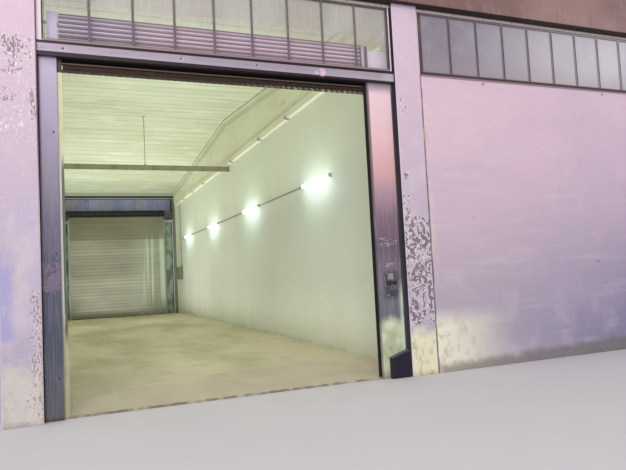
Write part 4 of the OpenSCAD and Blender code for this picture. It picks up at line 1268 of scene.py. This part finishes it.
# Turns that point a shape's Z out of a facade, up, or out of the party wall into the door bay
OUT_FRONT = (math.pi / 2, 0.0, 0.0)
OUT_REAR = (-math.pi / 2, 0.0, 0.0)
UPWARDS = (0.0, 0.0, 0.0)
OFF_WALL = (0.0, -math.pi / 2, 0.0)
# Turns of a clip that hugs the party wall, over an upright pipe and over a level one
CLIP_UPRIGHT = (0.0, 0.0, math.pi / 2)
CLIP_LEVEL = tuple(Matrix(((0, -1, 0), (0, 0, 1), (-1, 0, 0))).to_euler())


def steps_between(first, last, pitch):
    """Even places from first to last, about a pitch apart."""
    count = max(1, round((last - first) / pitch))
    return [first + (last - first) * step / count for step in range(count + 1)]


def bolts(name, places, turn, radius, height, material):
    """A piece with a bolt, a screw or a nut on every place."""
    sizes = {"Head Radius": radius, "Head Height": height, "Turn": turn}
    repeat(name, bolt_shape, places, sizes, material)


def pane_centres(glass, panes):
    """Middles of the panes between a band's glazing bars, and the width of one pane."""
    low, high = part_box(glass)
    pitch = (high.x - low.x) / panes
    return [low.x + (number + 0.5) * pitch for number in range(panes)], pitch - BAR_W


def slope_top(y):
    """Height of the felt at a distance from the ridge."""
    low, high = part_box("roof_covering_front")
    eaves_top = low.z + 0.06
    return high.z - (high.z - eaves_top) * abs(y) / abs(low.y)


def light_starts():
    """Where each wall light starts along the party wall."""
    low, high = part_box("wall_lights")
    pitch = (high.y - low.y - LIGHT_L) / (LIGHTS - 1)
    return [low.y + number * pitch for number in range(LIGHTS)]


def conduit_drop():
    """Where the conduit's upright pipe stands, across and along the hall, and its radius."""
    low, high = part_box("light_conduit")
    radius = (high.x - low.x) / 2
    return (low.x + high.x) / 2, high.y - radius, radius


class HALL_OT_masonry(bpy.types.Operator):
    """Paints the piers, the walls, the floor and the sill"""
    bl_idname = "hall.masonry"
    bl_label = "Masonry"

    def execute(self, context):
        hall = context.scene.hall
        wear([name for name in NODES if name.startswith("pier_")], pier_paint(hall.paint))
        wear(["front_wall"], facade_paint(hall.paint))
        wear(["left_end_wall", "party_wall", "right_end_wall"], wall_paint(hall.inside, hall.paint))
        wear(["floor_slab"], floor_concrete(hall.inside))
        wear(["window_sill"], sill_paint())
        return {"FINISHED"}


class HALL_OT_roof(bpy.types.Operator):
    """Finishes the beams, the ceiling, the eaves and the roof covering"""
    bl_idname = "hall.roof"
    bl_label = "Roof"

    def execute(self, context):
        hall = context.scene.hall
        wear(["roof_beam_left", "roof_beam_middle", "roof_beam_right"], beam_paint(hall.inside, hall.paint))
        wear(["roof_deck_front", "roof_deck_rear"], ceiling_paint(hall.inside))
        wear(["eaves_beam_front", "eaves_beam_rear"], fascia_paint(hall.paint))
        wear(["roof_covering_front", "roof_covering_rear"], felt(hall.metal))
        wear(["ridge_cap", "verge_trim"], zinc(hall.metal))
        wear(["guides_rear"], zinc(hall.metal, "rear_guide_steel", (120, 128, 112), 0.3))
        return {"FINISHED"}


class HALL_OT_front_door(bpy.types.Operator):
    """Finishes the front door's header, jambs, guides and rolled curtain"""
    bl_idname = "hall.front_door"
    bl_label = "Front door"

    def execute(self, context):
        metal = context.scene.hall.metal
        wear(["door_header_front", "door_header_rear"], header_enamel(metal))
        wear(["left_jamb_front"], jamb_left_enamel())
        wear(["right_jamb_front"], jamb_right_enamel())
        wear(["guides_front"], guide_steel())
        wear(["shutter_front"], rolled_slats(metal))
        wear(["bearings_front", "bearings_rear"], bearing_paint())
        wear(["wheel_guard"], guard_plate())
        wear(["key_switch"], brushed_plate())
        return {"FINISHED"}


class HALL_OT_rear_doors(bpy.types.Operator):
    """Finishes the two closed rear curtains and their green jambs"""
    bl_idname = "hall.rear_doors"
    bl_label = "Rear doors"

    def execute(self, context):
        wear(["shutters_rear"], closed_slats(context.scene.hall.inside))
        wear(["jambs_rear"], green_enamel())
        return {"FINISHED"}


class HALL_OT_windows(bpy.types.Operator):
    """Finishes the ribbon, the transoms and the strips above them"""
    bl_idname = "hall.windows"
    bl_label = "Windows"

    def execute(self, context):
        metal = context.scene.hall.metal
        wear(["ribbon_frame"], window_paint(metal))
        wear(["transom_frame_front", "transom_frame_rear"], transom_paint(metal))
        wear(["ribbon_glass"], ribbon_glass(metal))
        front = transom_glass(metal, "transom_glass", (206, 202, 200), (188, 182, 182), 0.1, 0.42)
        wear(["transom_glass_front"], front)
        rear = transom_glass(metal, "rear_transom_glass", (130, 136, 190), (112, 122, 172), 0.7, 0.1)
        wear(["transom_glass_rear"], rear)
        wear(["head_strips"], strip_paint())
        return {"FINISHED"}


class HALL_OT_services(bpy.types.Operator):
    """Finishes the wall lights, the conduit, the panel and the cross beam"""
    bl_idname = "hall.services"
    bl_label = "Services"

    def execute(self, context):
        metal = context.scene.hall.metal
        wear(["wall_lights"], lit_diffuser())
        wear(["light_conduit"], plastic("conduit_plastic", (128, 126, 106), (104, 100, 84)))
        wear(["electric_panel"], plastic("panel_plastic", (112, 120, 100), (84, 90, 74)))
        wear(["cross_beam", "hanger_rod"], zinc(metal, "beam_enamel", (166, 162, 122), 0.1))
        return {"FINISHED"}


class HALL_OT_door_bolts(bpy.types.Operator):
    """Bolts of the door headers and of the left jamb"""
    bl_idname = "hall.door_bolts"
    bl_label = "Door bolts"

    def execute(self, context):
        metal = context.scene.hall.metal
        steel = dark_steel()
        low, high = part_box("door_header_front")
        up = high.z - 0.087
        across = header_bolts_across()
        both_doors = [x + shift for shift in (0.0, PIER_PITCH) for x in across]
        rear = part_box("door_header_rear")[1].y
        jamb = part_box("left_jamb_front")
        for name, places, turn in (
                ("header_bolts_front", [(x, low.y, up) for x in across], OUT_FRONT),
                ("header_bolts_rear", [(x, rear, up) for x in both_doors], OUT_REAR),
                ("jamb_bolts", [(jamb[1].x - 0.05, jamb[0].y, z) for z in (0.5, 2.0, 3.5)], OUT_FRONT)):
            bolts(name, places, turn, metal.bolt_r, metal.bolt_r * 0.7, steel)
        return {"FINISHED"}


class HALL_OT_glazing_beads(bpy.types.Operator):
    """Beads that hold the panes of the ribbon and of the transoms"""
    bl_idname = "hall.glazing_beads"
    bl_label = "Glazing beads"

    def execute(self, context):
        metal = context.scene.hall.metal
        for glass, name in (("ribbon_glass", "ribbon_beads"),
                            ("transom_glass_front", "transom_beads_front")):
            middles, wide = pane_centres(glass, metal.panes)
            low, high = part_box(glass)
            self.beads(name, low, high, low.y, middles, wide, metal)
        rear_low, rear_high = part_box("transom_glass_rear")
        if abs(low.x - rear_low.x) > 0.001:
            raise RuntimeError("The rear transom doesn't start where the front one does")
        both = middles + [-x for x in middles]
        self.beads("transom_beads_rear", rear_low, rear_high, rear_high.y, both, wide, metal)
        return {"FINISHED"}

    def beads(self, name, low, high, face, middles, wide, metal):
        """Beads round the panes of the band between two corners, on its outer face."""
        outwards, turn = (-1, OUT_FRONT) if face < 0 else (1, OUT_REAR)
        sizes = {"Width": wide - metal.bead_w, "Height": high.z - low.z - metal.bead_w,
                 "Bead": metal.bead_w, "Turn": turn}
        places = [(x, face + outwards * metal.bead_w / 2, (low.z + high.z) / 2) for x in middles]
        putty = plastic(name + "_putty", (150, 138, 146), (120, 104, 114))
        repeat(name, bead_shape, places, sizes, putty)


class HALL_OT_door_seals(bpy.types.Operator):
    """Toothed lip of the rolled curtain, brush at the right guide and seals of the rear curtains"""
    bl_idname = "hall.door_seals"
    bl_label = "Door seals"
    END_GAP = 0.012
    STRAP_LOW = 4.66
    STRAP_HIGH = 5.03

    def execute(self, context):
        metal = context.scene.hall.metal
        low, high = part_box("shutter_front")
        left, right = low.x + self.END_GAP, high.x - self.END_GAP
        self.lip(left, right, low.z, metal)

        black = rubber()
        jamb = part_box("right_jamb_front")[0]
        tufts = [(jamb.x - 0.024, jamb.y + 0.043, z) for z in steps_between(0.04, 4.43, 0.012)]
        tuft = {"Width": 0.05, "Length": 0.008, "Height": 0.0125}
        repeat("guide_brush", slab_shape, tufts, tuft, black)
        self.strap(high.x - 0.124, high.x - 0.002, low.y - 0.017)

        wide = right - left
        low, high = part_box("shutters_rear")
        seals = [((x, high.y - 0.032, low.z), (x + wide, high.y + 0.004, low.z + 0.02), 0.003)
                 for x in (low.x + self.END_GAP, low.x + self.END_GAP + PIER_PITCH)]
        solid_piece("rear_curtain_seals", seals, [], black)
        return {"FINISHED"}

    def lip(self, left, right, top, metal):
        """A strip under the rolled curtain with a row of teeth."""
        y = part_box("guides_front")[0].y + 0.025
        foot = top - metal.lip_h
        brown = lip_rubber(metal)
        teeth = [(left + (number + 0.5) * metal.tooth_w, y, foot + 0.002)
                 for number in range(int((right - left) / metal.tooth_w))]
        tooth = {"Width": metal.tooth_w, "Height": metal.tooth_h, "Thickness": 0.008}
        repeat("curtain_lip", tooth_shape, teeth, tooth, brown)
        strip = ((left, y - 0.005, foot), (right, y + 0.005, top))
        solid_piece("curtain_strip", [strip], [], brown)

    def strap(self, left, right, y):
        """A strap that holds the right end of the coil to its bearing, with two bolts."""
        plate_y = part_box("bearings_front")[0].y
        low, high = self.STRAP_LOW, self.STRAP_HIGH
        boxes = [((left, y, low), (right, y + 0.006, high), 0.002),
                 ((right - 0.008, y + 0.0055, low), (right, plate_y + 0.004, high), 0.002)]
        heads = [((left + 0.05, y - 0.007, z), (left + 0.05, y + 0.001, z), 0.01, 6)
                 for z in (low + 0.06, high - 0.06)]
        solid_piece("coil_strap", boxes, heads, strap_paint(left, right - 0.036))


class HALL_OT_lock(bpy.types.Operator):
    """Hasp and padlock on the right jamb"""
    bl_idname = "hall.lock"
    bl_label = "Lock"
    LEFT = -0.53
    RIGHT = -0.36
    LOW = 1.22
    HIGH = 1.43

    def execute(self, context):
        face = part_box("right_jamb_front")[0].y
        left, right, low, high = self.LEFT, self.RIGHT, self.LOW, self.HIGH
        middle = (left + right) / 2
        plates = [
            ((left, face - 0.006, high - 0.06), (right, face, high), 0.002),
            ((left + 0.02, face - 0.011, high - 0.05), (right - 0.04, face - 0.006, high - 0.012), 0.002),
            ((middle - 0.03, face - 0.02, high - 0.075),
             (middle + 0.03, face - 0.004, high - 0.055), 0.003),
        ]
        pins = [((x, face - 0.009, high - 0.062), (x, face - 0.009, high + 0.002), 0.006)
                for x in (left + 0.012, right - 0.02)]
        solid_piece("hasp", plates, pins, dark_steel())

        case = (middle - 0.024, face - 0.034, low + 0.012), (middle + 0.024, face - 0.01, low + 0.05), 0.006
        solid_piece("padlock", [case], [], brass())
        bow_y, bow_z, bow_r = face - 0.022, high - 0.075, 0.018
        bars = [((x, bow_y, low + 0.045), (x, bow_y, bow_z), 0.004)
                for x in (middle - bow_r, middle + bow_r)]
        turns = [math.pi * step / 8 for step in range(9)]
        arch = [(middle - bow_r * math.cos(turn), bow_y, bow_z + bow_r * math.sin(turn)) for turn in turns]
        bars += [(start, end, 0.004) for start, end in zip(arch, arch[1:])]
        steel = zinc(context.scene.hall.metal, "shackle_steel")
        solid_piece("padlock_shackle", [], bars, steel, True)
        return {"FINISHED"}


class HALL_OT_flaking_paint(bpy.types.Operator):
    """Loose flakes of paint where the piers peel"""
    bl_idname = "hall.flaking_paint"
    bl_label = "Flaking paint"
    INSET = 0.02

    def execute(self, context):
        material = paint_chip(context.scene.hall.paint)
        small = {"Density": 260.0, "Size": 0.006, "Lift": 0.0016, "Seed": 4}
        large = {"Density": 90.0, "Size": 0.013, "Lift": 0.0022, "Seed": 9}
        self.flakes("flakes_left", -PIER_PITCH, small, material)
        self.flakes("flakes_middle", 0.0, large, material)
        return {"FINISHED"}

    def flakes(self, name, pier, sizes, material):
        """Flakes on the chipped places of the pier that stands there."""
        reach = PIER_HALF - self.INSET
        corners = []
        for left, right, low, high, _ in CHIPPED:
            if abs(right - pier) < PIER_PITCH / 2:
                left, right = max(left, -PIER_PITCH - reach), min(right, pier + reach)
                outline = (left, low), (right, low), (right, high), (left, high)
                corners += [(x, FACADE_Y, z) for x, z in outline]
        faces = [tuple(range(first, first + 4)) for first in range(0, len(corners), 4)]
        mesh = bpy.data.meshes.new(name)
        mesh.from_pydata(corners, [], faces)
        sizes = {**sizes, "Turn": OUT_FRONT, "Spin": 2 * math.pi}
        grow(name, mesh, sizes, flake_shape, material, flake_points)


class HALL_OT_joint_sealant(bpy.types.Operator):
    """Wavering bead of sealant between the middle pier and the facade wall"""
    bl_idname = "hall.joint_sealant"
    bl_label = "Joint sealant"
    SIDES = 8

    def execute(self, context):
        low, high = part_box("front_wall")
        form = bmesh.new()
        angles = [2 * math.pi * side / self.SIDES for side in range(self.SIDES)]
        rings = []
        for up in steps_between(low.z + 0.02, high.z - 0.01, 0.03):
            sway = 0.004 * math.sin(up * 5.1) + 0.003 * math.sin(up * 17.3 + 1.0)
            radius = 0.012 + 0.003 * math.sin(up * 11.7 + 2.0)
            rings.append([form.verts.new((low.x + 0.005 + sway + radius * math.cos(angle),
                                          low.y + 0.001 + radius * 0.6 * math.sin(angle), up))
                          for angle in angles])
        for below, above in zip(rings, rings[1:]):
            for side in range(-1, self.SIDES - 1):
                form.faces.new((below[side], below[side + 1], above[side + 1], above[side]))
        form.faces.new(rings[0])
        form.faces.new(rings[-1])
        mesh_piece("joint_bead", form, mastic(), True)

        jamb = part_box("left_jamb_front")
        seal = ((PIER_HALF - PIER_PITCH, jamb[0].y + 0.002, 0.004), (jamb[0].x, jamb[1].y, jamb[1].z))
        solid_piece("jamb_seal", [seal], [], rubber())
        return {"FINISHED"}


class HALL_OT_beam_clamps(bpy.types.Operator):
    """Steel clamps that hold the middle roof beam to the party wall"""
    bl_idname = "hall.beam_clamps"
    bl_label = "Beam clamps"
    ALONG = (-8.15, -5.92, -3.73, -0.65)

    def execute(self, context):
        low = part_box("roof_beam_middle")[0]
        wall_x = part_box("party_wall")[0].x
        plates, bars = [], []
        for y in self.ALONG + tuple(-along for along in self.ALONG):
            plates += [
                ((low.x - 0.012, y - 0.03, low.z - 0.012), (wall_x, y + 0.03, low.z), 0.003),
                ((low.x - 0.011, y - 0.026, low.z - 0.011), (low.x, y + 0.026, low.z + 0.07), 0.003),
            ]
            bars.append(((low.x + 0.05, y, low.z - 0.03), (low.x + 0.05, y, low.z), 0.01, 6))
        steel = zinc(context.scene.hall.metal, "clamp_steel", (112, 110, 84), 0.2)
        solid_piece("beam_clamps", plates, bars, steel)
        return {"FINISHED"}


class HALL_OT_light_fittings(bpy.types.Operator):
    """End caps of the wall lights and the clips of their conduit"""
    bl_idname = "hall.light_fittings"
    bl_label = "Light fittings"
    CAP_L = 0.02
    CAP_OVER = 0.002
    CLIP_END = 0.25
    CLIP_PITCH = 0.8

    def execute(self, context):
        low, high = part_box("wall_lights")
        starts = light_starts()
        over, cap_l = self.CAP_OVER, self.CAP_L
        caps = []
        for start in starts:
            end = start + LIGHT_L
            for near, far in ((start - over, start + cap_l), (end - cap_l, end + over)):
                caps.append(((low.x - over, near, low.z - over), (high.x, far, high.z + over), 0.004))
        white = plastic("cap_plastic", (226, 226, 218), (160, 158, 142))
        solid_piece("light_caps", caps, [], white)

        x, drop_y, radius = conduit_drop()
        pipe_low, pipe_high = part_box("light_conduit")
        light_z = (low.z + high.z) / 2
        level = []
        for start, after in zip(starts, starts[1:] + [drop_y + 0.4]):
            level += steps_between(start + LIGHT_L + self.CLIP_END, after - self.CLIP_END, self.CLIP_PITCH)
        upright = steps_between(pipe_low.z + self.CLIP_END, pipe_high.z - self.CLIP_END, self.CLIP_PITCH)
        grey = plastic("clip_plastic", (134, 132, 112), (108, 104, 88))
        for name, places, turn in (("clips_level", [(x, y, light_z) for y in level], CLIP_LEVEL),
                                   ("clips_upright", [(x, drop_y, z) for z in upright], CLIP_UPRIGHT)):
            sizes = {"Radius": radius * 1.04, "Width": 0.016, "Turn": turn}
            repeat(name, clip_shape, places, sizes, grey)
        return {"FINISHED"}


class HALL_OT_panel_fittings(bpy.types.Operator):
    """Door, hinges, latch and cable gland of the electric panel"""
    bl_idname = "hall.panel_fittings"
    bl_label = "Panel fittings"

    def execute(self, context):
        low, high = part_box("electric_panel")
        door = ((low.x - 0.008, low.y + 0.02, low.z + 0.02), (low.x, high.y - 0.02, high.z - 0.02), 0.003)
        green = plastic("panel_door_plastic", (94, 100, 84), (64, 68, 56))
        solid_piece("panel_door", [door], [], green)

        middle = (low.z + high.z) / 2
        latch = ((low.x - 0.02, low.y + 0.05, middle - 0.03),
                 (low.x - 0.008, low.y + 0.07, middle + 0.03), 0.003)
        hinge_x, hinge_y = low.x - 0.006, high.y - 0.016
        bars = [((hinge_x, hinge_y, z - 0.03), (hinge_x, hinge_y, z + 0.03), 0.006)
                for z in (low.z + 0.12, high.z - 0.12)]
        x, y, radius = conduit_drop()
        bars.append(((x, y, high.z), (x, y, high.z + 0.03), radius * 1.5, 6))
        solid_piece("panel_hardware", [latch], bars, rubber())
        return {"FINISHED"}


class HALL_OT_beam_bolts(bpy.types.Operator):
    """Bolts at the ends of the cross beam and the nut of its hanger"""
    bl_idname = "hall.beam_bolts"
    bl_label = "Cross beam bolts"

    def execute(self, context):
        low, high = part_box("cross_beam")
        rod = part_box("hanger_rod")
        steel = dark_steel()
        middle = (rod[0].x + rod[1].x) / 2
        bolts("hanger_nut", [(middle, 0.0, high.z)], UPWARDS, 0.02, 0.02, steel)
        places = [(high.x - 0.012, y, z) for y in (-0.06, 0.06) for z in (low.z + 0.035, high.z - 0.035)]
        bolts("cross_beam_bolts", places, OFF_WALL, 0.011, 0.009, steel)
        return {"FINISHED"}


class HALL_OT_roof_fittings(bpy.types.Operator):
    """Laps of the felt and the screws of the ridge cap, the verge and the head strips"""
    bl_idname = "hall.roof_fittings"
    bl_label = "Roof fittings"
    LAP_W = 0.08
    LAP_T = 0.004
    CLEAR = 0.32
    EAVES_EDGE = 0.02
    VERGE_EDGE = 0.14

    def execute(self, context):
        metal = context.scene.hall.metal
        eaves_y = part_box("roof_covering_front")[0].y
        half_l = abs(eaves_y)
        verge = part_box("verge_trim")
        fall = math.atan((slope_top(0) - slope_top(eaves_y)) / half_l)
        inset = self.VERGE_EDGE + metal.felt_w
        across = steps_between(verge[0].x + inset, verge[1].x - inset, metal.felt_w)
        reach = (half_l - self.CLEAR - self.EAVES_EDGE) / math.cos(fall)
        middle_y = (half_l - self.EAVES_EDGE + self.CLEAR) / 2
        for side, name in ((-1, "felt_laps_front"), (1, "felt_laps_rear")):
            sizes = {"Width": self.LAP_W, "Length": reach, "Height": self.LAP_T,
                     "Turn": (-side * fall, 0.0, 0.0)}
            places = [(x, side * middle_y, slope_top(middle_y) + self.LAP_T / 2) for x in across]
            repeat(name, slab_shape, places, sizes, felt(metal))

        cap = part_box("ridge_cap")
        ridge_y = cap[1].y - 0.05
        ridge_z = cap[1].z - (cap[1].z - slope_top(ridge_y)) * 0.5
        ridge = [(x, side * ridge_y, ridge_z) for x in steps_between(cap[0].x + 0.2, cap[1].x - 0.2, 0.5)
                 for side in (-1, 1)]
        verge_rise = verge[1].z - slope_top(0)
        edges = [(side * (verge[1].x - 0.05), slope * y, slope_top(y) + verge_rise)
                 for y in steps_between(self.CLEAR, verge[1].y - 0.3, 0.6)
                 for side in (-1, 1) for slope in (-1, 1)]
        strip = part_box("head_strips")
        up = (strip[0].z + strip[1].z) / 2
        bays = (-PIER_PITCH / 2, PIER_PITCH / 2)
        half = PIER_PITCH / 2 - PIER_HALF - 0.15
        front = [(bay + x, strip[0].y, up) for bay in bays for x in steps_between(-half, half, 0.6)]
        rear = [(x, strip[1].y, z) for x, _, z in front]
        steel = zinc(metal, "screw_steel")
        for name, places, turn in (("ridge_screws", ridge, UPWARDS), ("verge_screws", edges, UPWARDS),
                                   ("strip_screws_front", front, OUT_FRONT),
                                   ("strip_screws_rear", rear, OUT_REAR)):
            bolts(name, places, turn, metal.screw_r, 0.003, steel)
        return {"FINISHED"}


def camera_view(studio):
    """The camera's place and turn as a matrix."""
    right = Vector((math.cos(studio.yaw), -math.sin(studio.yaw), 0))
    forward = Vector((math.sin(studio.yaw) * math.cos(studio.pitch),
                      math.cos(studio.yaw) * math.cos(studio.pitch), math.sin(studio.pitch)))
    up = right.cross(forward)
    rolled_right = right * math.cos(studio.roll) + up * math.sin(studio.roll)
    rolled_up = up * math.cos(studio.roll) - right * math.sin(studio.roll)
    turn = Matrix((rolled_right, rolled_up, -forward)).transposed().to_4x4()
    return Matrix.Translation(Vector(studio.eye)) @ turn


def area_light(name, place, aim, power, wide, high, tone=(1, 1, 1)):
    """A soft rectangular light at a place, pointed at another."""
    lamp = bpy.data.lights.new(name, "AREA")
    lamp.shape = "RECTANGLE"
    lamp.size = wide
    lamp.size_y = high
    lamp.energy = power
    lamp.color = tone
    light = add_object(name, lamp)
    light.location = place
    light.rotation_euler = (Vector(aim) - Vector(place)).to_track_quat("-Z", "Y").to_euler()
    light.visible_camera = False


class HALL_OT_studio(bpy.types.Operator):
    """Sets the pale floor, the soft light and the camera"""
    bl_idname = "hall.studio"
    bl_label = "Studio"
    FLOOR_HALF = 90.0
    FLOOR_Z = -0.002
    INSIDE = (0.98, 0.99, 1.03)
    TUBE_TONE = (0.78, 1.0, 1.15)
    TUBE_OFF = 0.42
    TUBE_DROP = 0.15

    def execute(self, context):
        scene = context.scene
        studio = scene.hall.studio
        scene.view_settings.view_transform = "Standard"
        mesh = bpy.data.meshes.new("studio_floor")
        corners = [(x * self.FLOOR_HALF, y * self.FLOOR_HALF, self.FLOOR_Z)
                   for x, y in ((-1, -1), (1, -1), (1, 1), (-1, 1))]
        mesh.from_pydata(corners, [], [(0, 1, 2, 3)])
        mesh.materials.append(pale_ground())
        floor = add_object("studio_floor", mesh)

        world = bpy.data.worlds.new("studio_sky")
        world.use_nodes = True
        sky = world.node_tree.nodes["Background"].inputs
        sky["Color"].default_value = (0.95, 0.93, 0.97, 1)
        sky["Strength"].default_value = studio.sky
        scene.world = world

        area_light("key_light", (-9, -26, 12), (0, -11, 3), studio.key, 10, 8, (1.0, 0.96, 0.97))
        low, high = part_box("wall_lights")
        up = (low.z + high.z) / 2 - self.TUBE_DROP
        for number, start in enumerate(light_starts()):
            y = start + LIGHT_L / 2
            area_light("tube_light_%d" % number, (low.x - self.TUBE_OFF, y, up), (high.x, y, up),
                       studio.tube, 1.4, 0.12, self.TUBE_TONE)
        bay = -PIER_PITCH / 2
        for number, (y, share) in enumerate(((-8.0, 1.4), (-1.0, 1.0), (5.0, 1.0))):
            area_light("fill_light_%d" % number, (-4.5, y, 1.7), (0.7, y, 4.6),
                       studio.fill * share, 5.0, 2.6, self.INSIDE)
        for number, (y, share) in enumerate(((-7.4, 0.95), (0.0, 1.0), (7.0, 1.6))):
            area_light("rise_light_%d" % number, (bay - 0.5, y, 0.12), (bay - 0.5, y, 5.0),
                       studio.rise * share, 3.2, 6.0, self.INSIDE)
            area_light("down_light_%d" % number, (bay - 0.9, y, 4.3), (bay - 0.9, y, 0.0),
                       studio.down, 3.2, 6.0, self.INSIDE)
        area_light("rear_light", (bay, 3.0, 2.4), (bay, 11.0, 2.2), studio.fill, 4.0, 3.0, self.INSIDE)

        camera = bpy.data.cameras.new("camera")
        camera.lens = studio.lens
        camera.sensor_width = 36
        camera.clip_end = 500
        eye = add_object("camera", camera)
        eye.matrix_world = camera_view(studio)
        scene.camera = eye
        return {"FINISHED"}


STEPS = (
    HALL_OT_studio, HALL_OT_masonry, HALL_OT_roof, HALL_OT_front_door, HALL_OT_rear_doors, HALL_OT_windows,
    HALL_OT_services, HALL_OT_door_bolts, HALL_OT_glazing_beads, HALL_OT_door_seals, HALL_OT_lock,
    HALL_OT_flaking_paint, HALL_OT_joint_sealant, HALL_OT_beam_clamps, HALL_OT_light_fittings,
    HALL_OT_panel_fittings, HALL_OT_beam_bolts, HALL_OT_roof_fittings,
)


class HALL_PT_steps(bpy.types.Panel):
    """Lists the hall's steps and settings"""
    bl_idname = "HALL_PT_steps"
    bl_label = "Factory Hall"
    bl_space_type = "VIEW_3D"
    bl_region_type = "UI"
    bl_category = "Hall"

    def draw(self, context):
        for step in STEPS:
            self.layout.operator(step.bl_idname)
        hall = context.scene.hall
        for group in (hall.paint, hall.inside, hall.metal, hall.studio):
            box = self.layout.box()
            for name in group.__annotations__:
                box.prop(group, name)


SETTINGS = (PaintSettings, InsideSettings, MetalSettings, StudioSettings, HallSettings)
CLASSES = (*SETTINGS, *STEPS, HALL_PT_steps)


def register():
    for each in CLASSES:
        bpy.utils.register_class(each)
    bpy.types.Scene.hall = PointerProperty(type=HallSettings)


def unregister():
    del bpy.types.Scene.hall
    for each in reversed(CLASSES):
        bpy.utils.unregister_class(each)


def main():
    """Makes every piece in order."""
    register()
    for step in STEPS:
        name = step.bl_idname.split(".")[1]
        getattr(bpy.ops.hall, name)()


if __name__ == "__main__":
    main()
